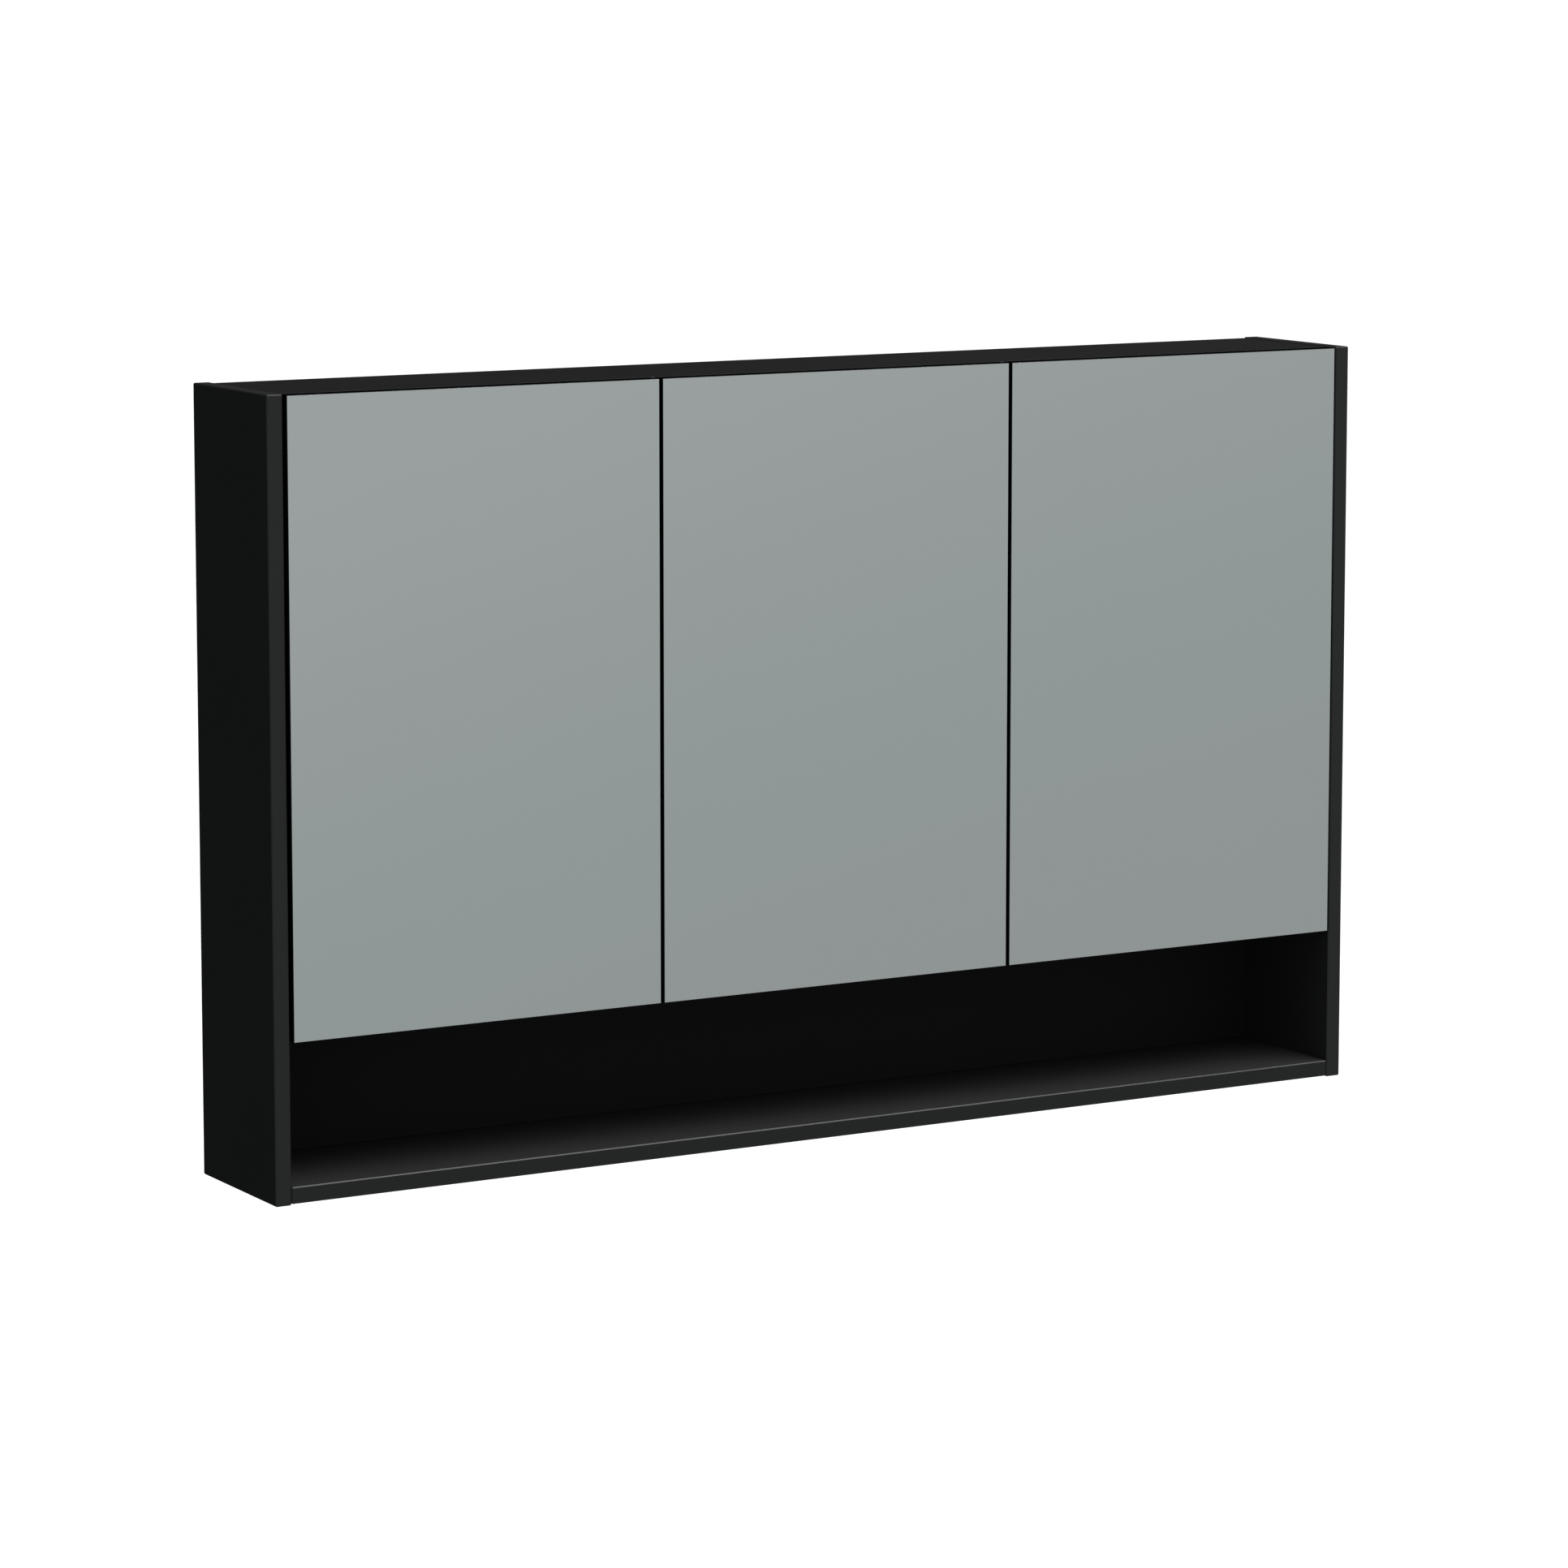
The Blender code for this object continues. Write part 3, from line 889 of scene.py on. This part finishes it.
@dataclass
class Fittings:
    """The small parts that repeat, each modelled once about the origin along +Z."""

    # the radius and height of each head
    screw_sizes: tuple[tuple[str, float, float], ...] = (
        ("hinge_screw", 3.6 * MM, 1.5 * MM),
        ("small_screw", 2.6 * MM, 1.1 * MM),
        ("flush_screw", 3.4 * MM, 0.5 * MM),
    )
    rivet_size: tuple[float, float] = (1.8 * MM, 0.5 * MM)
    masters: dict[str, Piece] = field(default_factory=dict)

    def build(self) -> None:
        """Models every master."""
        for name, radius, height in self.screw_sizes:
            self.masters[name] = self.pan_head(radius, height)
        self.masters["rivet"] = self.rivet(*self.rivet_size)
        self.masters["shelf_pin"] = self.shelf_pin()
        self.masters["pin_sleeve"] = self.pin_sleeve()
        self.masters["joint_cap"] = self.joint_cap()
        self.masters["bumper"] = self.bumper()
        for master in self.masters.values():
            smooth(master)

    def pan_head(self, radius: float, height: float) -> Piece:
        """A low screw head with a rounded rim and a cross recess.

        Args:
            radius: the head's radius.
            height: the head's height.

        Returns:
            The screw head.
        """
        head = new_drum("screw_head", radius, height, 28)
        round_rim(head, height, min(0.45 * height, 0.6 * MM), 3)
        cut_cross(head, height, radius * 1.15, height * 0.6)
        return head

    def rivet(self, radius: float, height: float) -> Piece:
        """A pin's flattened end, a low dome with a ring pressed round its middle.

        Args:
            radius: the head's radius.
            height: the head's height.

        Returns:
            The rivet head.
        """
        head = new_drum("rivet_head", radius, height, 20)
        round_rim(head, height, 0.6 * height, 3)
        raise_step(head, height, radius * 0.25, -0.12 * MM)
        return head

    def shelf_pin(self) -> Piece:
        """A push-in shelf pin: a collar that stops against the board, and a round-ended peg.

        Returns:
            The pin.
        """
        collar, collar_radius = 0.8 * MM, 4.4 * MM
        peg, peg_radius = 8.0 * MM, 2.5 * MM
        pin = new_drum("shelf_pin", collar_radius, collar, 24)
        raise_step(pin, collar, collar_radius - peg_radius, peg)
        round_rim(pin, collar + peg, 0.7 * MM, 3)
        return pin

    def pin_sleeve(self) -> Piece:
        """A sleeve pressed into a spare pin hole: a thin rim round a dark well.

        Returns:
            The sleeve.
        """
        rim = 0.4 * MM
        sleeve = new_drum("pin_sleeve", 3.7 * MM, rim, 20)
        raise_step(sleeve, rim, 1.2 * MM, -0.32 * MM)
        round_rim(sleeve, rim, 0.12 * MM, 1)
        return sleeve

    def joint_cap(self) -> Piece:
        """A cap over a board joint's fastener: a shallow dish with a rounded rim and a pry notch.

        Returns:
            The cap.
        """
        height, radius = 0.8 * MM, 8.5 * MM
        cap = new_drum("joint_cap", radius, height, 32)
        round_rim(cap, height, 0.45 * MM, 3)
        raise_step(cap, height, 1.8 * MM, -0.2 * MM)
        notch = new_block("pry_notch", (radius - 1.2 * MM, -MM, 0.3 * MM), (radius + MM, MM, 2 * height))
        cut(cap, notch)
        return cap

    def bumper(self) -> Piece:
        """A self-adhesive bumper dot, flat below and domed above.

        Returns:
            The dot.
        """
        height = 0.85 * MM
        dot = new_drum("bumper_dot", 3.9 * MM, height, 28)
        round_rim(dot, height, 0.8 * MM, 5)
        raise_step(dot, height, 1.2 * MM, 0.02 * MM)
        return dot

    def place(self, kind: str, name: str, places: Places) -> Piece:
        """Copies a master to some places, as one piece."""
        return copied(self.masters[kind], name, places)

    def put_away(self) -> None:
        """Removes the masters."""
        for master in self.masters.values():
            bpy.data.objects.remove(master, do_unlink=True)


# ---------------------------------------------------------------- the cabinet


@dataclass(frozen=True)
class PaintedBoardShade:
    """One board's share of the black melamine, its blacks lighter or darker as painted light and shade.

    The real boards are one black. Theirs differ here as painted light and shade, so that each reads as dark
    as it should in this light.

    Attributes:
        node: the board's node.
        colour: the black of its faces, lighter or darker as painted light and shade.
        band_colour: the black of its edge band, lighter or darker as painted light and shade.
        gloss: the specular level of its pressing.
        raw: whether its rear edge is left unbanded.
    """

    node: str
    colour: str = BlackMelamine.colour
    band_colour: str = BlackMelamine.band_colour
    gloss: float = BlackMelamine.gloss
    raw: bool = True


@dataclass
class Carcass(Assembly):
    """The black box: its boards, its back sheet and what fastens them."""

    body: str = "carcass"
    # painted light and shade: the board blacks below are set one by one, with the bottom panel's face lighter
    # and its band and the top panel darker
    painted_board_shades: tuple[PaintedBoardShade, ...] = (
        PaintedBoardShade("left_side_panel", "#282727", "#282727"),
        PaintedBoardShade("right_side_panel", "#282727", "#282727"),
        PaintedBoardShade("bottom_panel", "#313030", "#161515", gloss=0.5),
        PaintedBoardShade("top_panel", "#201f1f", "#201f1f", gloss=0.1),
        PaintedBoardShade("compartment_floor", raw=False),
        PaintedBoardShade("left_divider", raw=False),
        PaintedBoardShade("right_divider", raw=False),
    )
    band: float = 1.2 * MM
    sawn_depth: float = 0.3 * MM
    cap_from_end: float = 42 * MM
    cap_rows: tuple[float, float] = (0.25, 0.75)
    back_screw_pitch: float = 115 * MM
    back_screw_margin: float = 40 * MM
    back_screw_clearance: float = 30 * MM
    level_back_screws: int = 9
    plate_screw_offset: float = 23 * MM
    plate_screw_sink: float = 0.52 * MM

    def build(self) -> None:
        """Dresses the boards and adds the caps and screws."""
        for batch in self.painted_board_shades:
            self.dress(batch.node, self.board_finish(batch))
        for node in ("top_hanging_rail", "bottom_hanging_rail"):
            self.dress(node, BlackMelamine("matte_black_melamine_rail"))
        low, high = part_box("back_sheet")
        self.dress("back_sheet", PaintedHardboard(face_until=(low.y + high.y) / 2))
        self.add_caps()
        self.add_back_screws()
        self.add_hangers()

    def board_finish(self, batch: PaintedBoardShade) -> BlackMelamine:
        """The melamine of one board, banded in front and, on the outer boards, left raw behind.

        Args:
            batch: the board's blacks, with their painted light and shade.

        Returns:
            The finish.
        """
        low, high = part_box(batch.node)
        bands = (Edge(1, low.y + self.band, -1),)
        rear = (Edge(1, high.y - self.sawn_depth, 1),) if batch.raw else ()
        name = f"matte_black_melamine_{batch.node}"
        return BlackMelamine(
            name, batch.colour, batch.band_colour, gloss=batch.gloss, bands=bands, raw=rear
        )

    def add_caps(self) -> None:
        """Adds a cap over each joint fastener, under the three level boards."""
        for node in ("top_panel", "compartment_floor", "bottom_panel"):
            low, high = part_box(node)
            places = [
                (Vector((x, low.y + share * (high.y - low.y), low.z)), (0, 0, -1))
                for x in (low.x + self.cap_from_end, high.x - self.cap_from_end)
                for share in self.cap_rows
            ]
            caps = self.fittings.place("joint_cap", f"{node}_joint_caps", places)
            self.keep(caps, self.body, Slot.BOARD, BLACK_ABS)

    def add_back_screws(self) -> None:
        """Adds the screws that hold the back sheet to the dividers and the compartment floor."""
        low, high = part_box("back_sheet")
        floor = sum((corner.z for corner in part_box("compartment_floor")), 0.0) / 2
        top_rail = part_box("top_hanging_rail")[0].z
        first, last = low.x + self.back_screw_margin, high.x - self.back_screw_margin
        places = []
        for step in range(self.level_back_screws):
            x = first + (last - first) * step / (self.level_back_screws - 1)
            places.append((Vector((x, high.y, floor)), (0, 1, 0)))
        for node in ("left_divider", "right_divider"):
            x = sum((corner.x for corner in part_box(node)), 0.0) / 2
            z = floor + self.back_screw_pitch
            while z < top_rail - self.back_screw_clearance:
                places.append((Vector((x, high.y, z)), (0, 1, 0)))
                z += self.back_screw_pitch
        screws = self.fittings.place("hinge_screw", "back_sheet_screws", places)
        self.keep(screws, self.body, Slot.ZINC, BLACK_SCREW)

    def add_hangers(self) -> None:
        """Dresses the keyhole plates and adds their flush screws."""
        for side in ("left", "right"):
            node = f"{side}_hanger_plate"
            self.dress(node, ZINC)
            low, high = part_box(node)
            middle = (low + high) / 2
            foot = min(high.y, CAD_BOX[1].y) - self.plate_screw_sink
            places = [
                (Vector((middle.x + offset, foot, middle.z)), (0, 1, 0))
                for offset in (-self.plate_screw_offset, self.plate_screw_offset)
            ]
            screws = self.fittings.place("flush_screw", f"{node}_screws", places)
            self.keep(screws, self.body, Slot.ZINC, BRIGHT_SCREW)


@dataclass
class Shelves(Assembly):
    """The glass shelves, the pins under them and the spare pin holes above and below."""

    body: str = "carcass"
    pin_from_front: float = 30 * MM
    pin_from_back: float = 26 * MM
    pin_radius: float = 2.5 * MM
    hole_pitch: float = 32 * MM
    holes_each_way: int = 2
    rim: float = 0.7 * MM
    pin_play: float = 0.06 * MM

    def build(self) -> None:
        """Builds every shelf of every bay."""
        for bay in Bay:
            for level in Level:
                self.build_shelf(f"{bay.value}_{level.value}_shelf")

    def build_shelf(self, node: str) -> None:
        """Dresses one shelf, and adds its pins and spare holes.

        Args:
            node: the shelf's node.
        """
        low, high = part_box(node)
        edges = (
            Edge(0, low.x + self.rim, -1),
            Edge(0, high.x - self.rim, 1),
            Edge(1, low.y + self.rim, -1),
            Edge(1, high.y - self.rim, 1),
        )
        self.dress(node, ToughenedGlass(f"clear_toughened_glass_{node}", edges))
        rows = (low.y + self.pin_from_front, high.y - self.pin_from_back)
        ends = ((low.x - MM, 1), (high.x + MM, -1))
        pin_z = low.z - self.pin_radius - self.pin_play
        pins = [(Vector((x, y, pin_z)), (way, 0, 0)) for x, way in ends for y in rows]
        piece = self.fittings.place("shelf_pin", f"{node}_pins", pins)
        self.keep(piece, self.body, Slot.NICKEL, BRIGHT_SCREW)
        steps = [step for step in range(-self.holes_each_way, self.holes_each_way + 1) if step]
        holes = [
            (Vector((x, y, pin_z + step * self.hole_pitch)), (way, 0, 0))
            for x, way in ends
            for y in rows
            for step in steps
        ]
        piece = self.fittings.place("pin_sleeve", f"{node}_pin_sleeves", holes)
        self.keep(piece, self.body, Slot.BOARD, BLACK_ABS)


@dataclass
class Door(Assembly):
    """One mirrored door with the bumpers that it closes on."""

    bay: Bay = Bay.LEFT
    band: float = 1.0 * MM
    # the edges of the doors have to read as a dark line above the mirrors, so they have no gloss
    gloss: float = 0.0

    def build(self) -> None:
        """Dresses the board and the mirror, and domes the bumpers."""
        name = self.bay.value
        low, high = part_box(f"{name}_door_board")
        bands = (
            Edge(0, low.x + self.band, -1),
            Edge(0, high.x - self.band, 1),
            Edge(2, low.z + self.band, -1),
            Edge(2, high.z - self.band, 1),
        )
        # painted shade: the edge bands are near black, so that the doors' top edges read as the shadowed dark
        # line above the mirrors
        finish = BlackMelamine(
            f"matte_black_melamine_{name}_door", band_colour="#030303", gloss=self.gloss, bands=bands
        )
        self.dress(f"{name}_door_board", finish)
        low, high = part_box(f"{name}_door_mirror")
        self.dress(f"{name}_door_mirror", SilveredMirror(f"silvered_float_glass_{name}", low.y, high.y))
        for level in Level:
            self.build_bumper(f"{name}_{level.value}_door_bumper")

    def build_bumper(self, node: str) -> None:
        """Replaces one plain bumper by a domed one.

        Args:
            node: the bumper's node.
        """
        low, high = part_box(node)
        middle = (low + high) / 2
        foot = Vector((middle.x, high.y, middle.z))
        dome = self.fittings.place("bumper", f"{node}_dome", [(foot, (0, -1, 0))])
        self.keep(dome, "carcass", Slot.BUMPER, SOFT_CLEAR)
        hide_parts(node)


@dataclass
class Hinge(Assembly):
    """One concealed cup hinge with its screws and pins."""

    bay: Bay = Bay.LEFT
    level: Level = Level.LOWER
    wing_screw_rise: float = 18 * MM
    ear_screw_rise: float = 23 * MM
    ear_screw_inset: float = 9.1 * MM
    ear_screw_sink: float = 0.1 * MM
    wing_from_door: float = 47 * MM
    # the arm's two screws: how far behind the door each stands, and how far off the plate's base
    arm_screws: tuple[tuple[float, float], ...] = ((62 * MM, 10.5 * MM), (48 * MM, 11.2 * MM))

    @property
    def node(self) -> str:
        """The start of the hinge's node names."""
        return f"{self.bay.value}_{self.level.value}_hinge"

    def build(self) -> None:
        """Dresses the hinge and adds its screws and rivets."""
        for part in ("plate", "arm", "inner_link", "outer_link", "cup"):
            self.dress(f"{self.node}_{part}", NICKEL)
        self.add_plate_screws()
        self.add_arm_screws()
        self.add_cup_screws()
        self.add_rivets()

    def inner_side(self, node: str) -> float:
        """The x of a node's side that looks into the compartment."""
        low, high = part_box(node)
        return high.x if self.bay.hand > 0 else low.x

    def door_back(self) -> float:
        """The y of the closed door's back."""
        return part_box(f"{self.bay.value}_door_board")[1].y

    def add_plate_screws(self) -> None:
        """Adds a screw in each wing of the mounting plate."""
        node = f"{self.node}_plate"
        low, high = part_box(node)
        x, y, z = self.inner_side(node), self.door_back() + self.wing_from_door, (low.z + high.z) / 2
        places = [
            (Vector((x, y, z + rise)), (self.bay.hand, 0, 0))
            for rise in (-self.wing_screw_rise, self.wing_screw_rise)
        ]
        screws = self.fittings.place("hinge_screw", f"{self.node}_plate_screws", places)
        self.keep(screws, "carcass", Slot.NICKEL, BRIGHT_SCREW)

    def add_arm_screws(self) -> None:
        """Adds the screw that clamps the arm and the one that shifts it sideways."""
        low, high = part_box(f"{self.node}_arm")
        z = (low.z + high.z) / 2
        foot = self.inner_side(f"{self.node}_plate")
        places = [
            (Vector((foot + self.bay.hand * rise, self.door_back() + back, z)), (self.bay.hand, 0, 0))
            for back, rise in self.arm_screws
        ]
        screws = self.fittings.place("small_screw", f"{self.node}_arm_screws", places)
        self.keep(screws, "carcass", Slot.NICKEL, BRIGHT_SCREW)

    def add_cup_screws(self) -> None:
        """Adds a screw in each ear of the cup's flange."""
        low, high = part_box(f"{self.node}_cup")
        z = (low.z + high.z) / 2
        x = self.inner_side(f"{self.node}_cup") - self.bay.hand * self.ear_screw_inset
        places = [
            (Vector((x, high.y - self.ear_screw_sink, z + rise)), (0, 1, 0))
            for rise in (-self.ear_screw_rise, self.ear_screw_rise)
        ]
        screws = self.fittings.place("hinge_screw", f"{self.node}_cup_screws", places)
        self.keep(screws, f"{self.bay.value}_door", Slot.NICKEL, BRIGHT_SCREW)

    def add_rivets(self) -> None:
        """Adds the pins' flattened ends on both cheeks of the arm."""
        low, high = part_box(f"{self.node}_arm")
        pins = [
            Vector(joint["pos_m"])
            for joint in frame["joints"]
            if joint["name"] in (f"{self.bay.value}_inner_link_swing", f"{self.bay.value}_outer_link_swing")
        ]
        places = [
            (Vector((pin.x, pin.y, height)), (0, 0, way))
            for pin in pins
            for height, way in ((high.z, 1), (low.z, -1))
        ]
        rivets = self.fittings.place("rivet", f"{self.node}_arm_rivets", places)
        self.keep(rivets, "carcass", Slot.NICKEL, BRIGHT_SCREW)


# ---------------------------------------------------------------- the studio


@dataclass(frozen=True)
class Softbox:
    """A rectangular light.

    Attributes:
        name: the light's name.
        place: its middle.
        target: the point that it faces.
        size: its width and height.
        power: its power in watts.
    """

    name: str
    place: tuple[float, float, float]
    target: tuple[float, float, float]
    size: tuple[float, float]
    power: float

    def add(self) -> None:
        """Adds the light to the scene."""
        data = bpy.data.lights.new(self.name, "AREA")
        data.shape = "RECTANGLE"
        data.size, data.size_y = self.size
        data.energy = self.power
        light = bpy.data.objects.new(self.name, data)
        light.location = self.place
        light.visible_camera = False
        way = Vector(self.target) - Vector(self.place)
        light.rotation_mode = "QUATERNION"
        light.rotation_quaternion = way.to_track_quat("-Z", "Y")
        bpy.context.scene.collection.objects.link(light)


@dataclass(frozen=True)
class Studio:
    """A pale floor, soft light and the air around, which the mirrors show as a grey-green gradient."""

    floor_drop: float = 1.5
    floor_size: float = 600.0
    silver: float = 0.896
    # how far along the slope from light to dark, and the colour that the mirror shows there
    gradient: tuple[tuple[float, str], ...] = (
        (-0.30, "#a6acac"),
        (0.15, "#9ba1a1"),
        (0.25, "#9aa0a0"),
        (0.27, "#989e9e"),
        (0.29, "#959b9b"),
        (0.304, "#939a9a"),
        (0.322, "#919898"),
        (0.340, "#909797"),
        (0.358, "#909595"),
        (0.376, "#8f9494"),
        (0.90, "#858a8a"),
    )
    slope: tuple[float, float, float] = (0.3746, 0.0, -0.9272)
    rear_dimming: float = 0.06
    glow: float = 3.2
    glow_edge: float = 0.3
    key: Softbox = Softbox("overhead_softbox", (1.9, -2.3, 4.8), (0.1, -0.1, -0.3), (5.0, 3.6), 290.0)

    def build(self) -> None:
        """Builds the floor, the air and the lights."""
        bpy.context.scene.view_settings.view_transform = "Standard"
        self.build_floor()
        self.build_air()
        self.key.add()

    def build_floor(self) -> None:
        """Builds the floor, a seamless pale sheet."""
        clear_selection()
        z = CAD_BOX[0].z - self.floor_drop
        bpy.ops.mesh.primitive_plane_add(size=self.floor_size, location=(0, 0, z))
        floor = bpy.context.object
        floor.name = "studio_floor"
        material, tree = new_material("pale_studio_paper")
        fibres = noise(tree, object_coordinates(tree), 0.6, 2.0)
        tone = mix_colours(tree, fibres, srgb("#f2f2f2"), srgb("#f6f6f6"))
        close_material(
            tree,
            {"Base Color": tone, "Roughness": 0.9, "Emission Color": tone, "Emission Strength": 1.0},
        )
        floor.data.materials.append(material)
        floor.visible_glossy = False
        floor.visible_diffuse = False

    def build_air(self) -> None:
        """Builds the world: white to the camera, and a soft dim gradient to the surfaces."""
        world = bpy.data.worlds.new("studio_air")
        bpy.context.scene.world = world
        world.use_nodes = True
        tree = world.node_tree
        tree.nodes.clear()
        way = add_node(tree, "TexCoord").outputs["Generated"]
        dot = add_node(tree, "VectorMath", {0: way, 1: self.slope}, operation="DOT_PRODUCT")
        along = dot.outputs["Value"]
        first, last = self.gradient[0][0], self.gradient[-1][0]
        share = add_node(tree, "MapRange", {"Value": along, "From Min": first, "From Max": last}).outputs[0]
        shade = add_node(tree, "ValToRGB", {0: share})
        ramp = shade.color_ramp
        while len(ramp.elements) < len(self.gradient):
            ramp.elements.new(0.5)
        for element, (at, code) in zip(ramp.elements, self.gradient):
            element.position = (at - first) / (last - first)
            element.color = srgb(code)
        depth = add_node(tree, "SeparateXYZ", {0: way}).outputs["Y"]
        front = add_node(
            tree,
            "MapRange",
            {"Value": depth, "From Min": -0.25, "From Max": 0.2, "To Min": 1.0, "To Max": self.rear_dimming},
            interpolation_type="SMOOTHSTEP",
        ).outputs[0]
        strength = math_node(tree, "ADD", front, self.rear_glow(tree, way))
        strength = math_node(tree, "MULTIPLY", strength, 1.0 / self.silver)
        dim = add_node(tree, "Background", {"Color": shade.outputs[0], "Strength": strength})
        white = add_node(tree, "Background", {"Color": (1, 1, 1, 1), "Strength": 1.0})
        seen = add_node(tree, "LightPath").outputs["Is Camera Ray"]
        both = add_node(tree, "MixShader", {0: seen, 1: dim.outputs[0], 2: white.outputs[0]})
        add_node(tree, "OutputWorld", {"Surface": both.outputs[0]})

    def rear_glow(self, tree: Tree, way: Socket) -> Socket:
        """A soft glow low behind the cabinet, which shows its back and leaves its front alone.

        Args:
            tree: the world's node tree.
            way: the direction's socket.

        Returns:
            The glow's strength.
        """
        axes = add_node(tree, "SeparateXYZ", {0: way}).outputs
        glow: Value = self.glow
        for axis, sign, start in (("X", 1.0, 0.0), ("Y", 1.0, 0.15), ("Z", -1.0, 0.0)):
            ahead = math_node(tree, "MULTIPLY", axes[axis], sign)
            inputs = {"Value": ahead, "From Min": start, "From Max": start + self.glow_edge}
            share = add_node(tree, "MapRange", inputs, interpolation_type="SMOOTHSTEP").outputs[0]
            glow = math_node(tree, "MULTIPLY", share, glow)
        return glow


@dataclass(frozen=True)
class StudioCamera:
    """A long lens to the left of the cabinet and above it.

    Attributes:
        place: where it stands, as an offset from the middle of the cabinet's front face.
        yaw: how far it turns to the right of straight ahead, in degrees.
        pitch: how far it looks up, in degrees.
        lens: its focal length in millimetres.
        shift: how far its frame is shifted down, in widths.
    """

    place: tuple[float, float, float] = (-2.713, -4.5798, 0.7878)
    yaw: float = 30.075
    pitch: float = -7.404
    lens: float = 127.94
    shift: float = -0.08

    def add(self) -> None:
        """Adds the camera and makes it the scene's."""
        data = bpy.data.cameras.new("studio_camera")
        data.lens = self.lens
        data.sensor_width = 36.0
        data.shift_y = self.shift
        data.clip_start, data.clip_end = 0.1, 2000.0
        camera = bpy.data.objects.new("studio_camera", data)
        low, high = CAD_BOX
        front = Vector(((low.x + high.x) / 2, low.y, (low.z + high.z) / 2))
        camera.location = front + Vector(self.place)
        camera.rotation_euler = (math.radians(90 + self.pitch), 0.0, -math.radians(self.yaw))
        bpy.context.scene.collection.objects.link(camera)
        bpy.context.scene.camera = camera


def main() -> None:
    """Builds the cabinet's looks and the studio round it."""
    logging.basicConfig(level=logging.INFO, format="%(name)s: %(message)s")
    StudioCamera().add()
    fittings = Fittings()
    fittings.build()
    parts = [Carcass(fittings), Shelves(fittings)]
    parts += [Door(fittings, bay=bay) for bay in Bay]
    parts += [Hinge(fittings, bay=bay, level=level) for bay in Bay for level in Level]
    for part in parts:
        part.build()
    fittings.put_away()
    Studio().build()
    LOG.info("%d new pieces", sum(len(part.made) for part in parts))


if __name__ == "__main__":
    main()
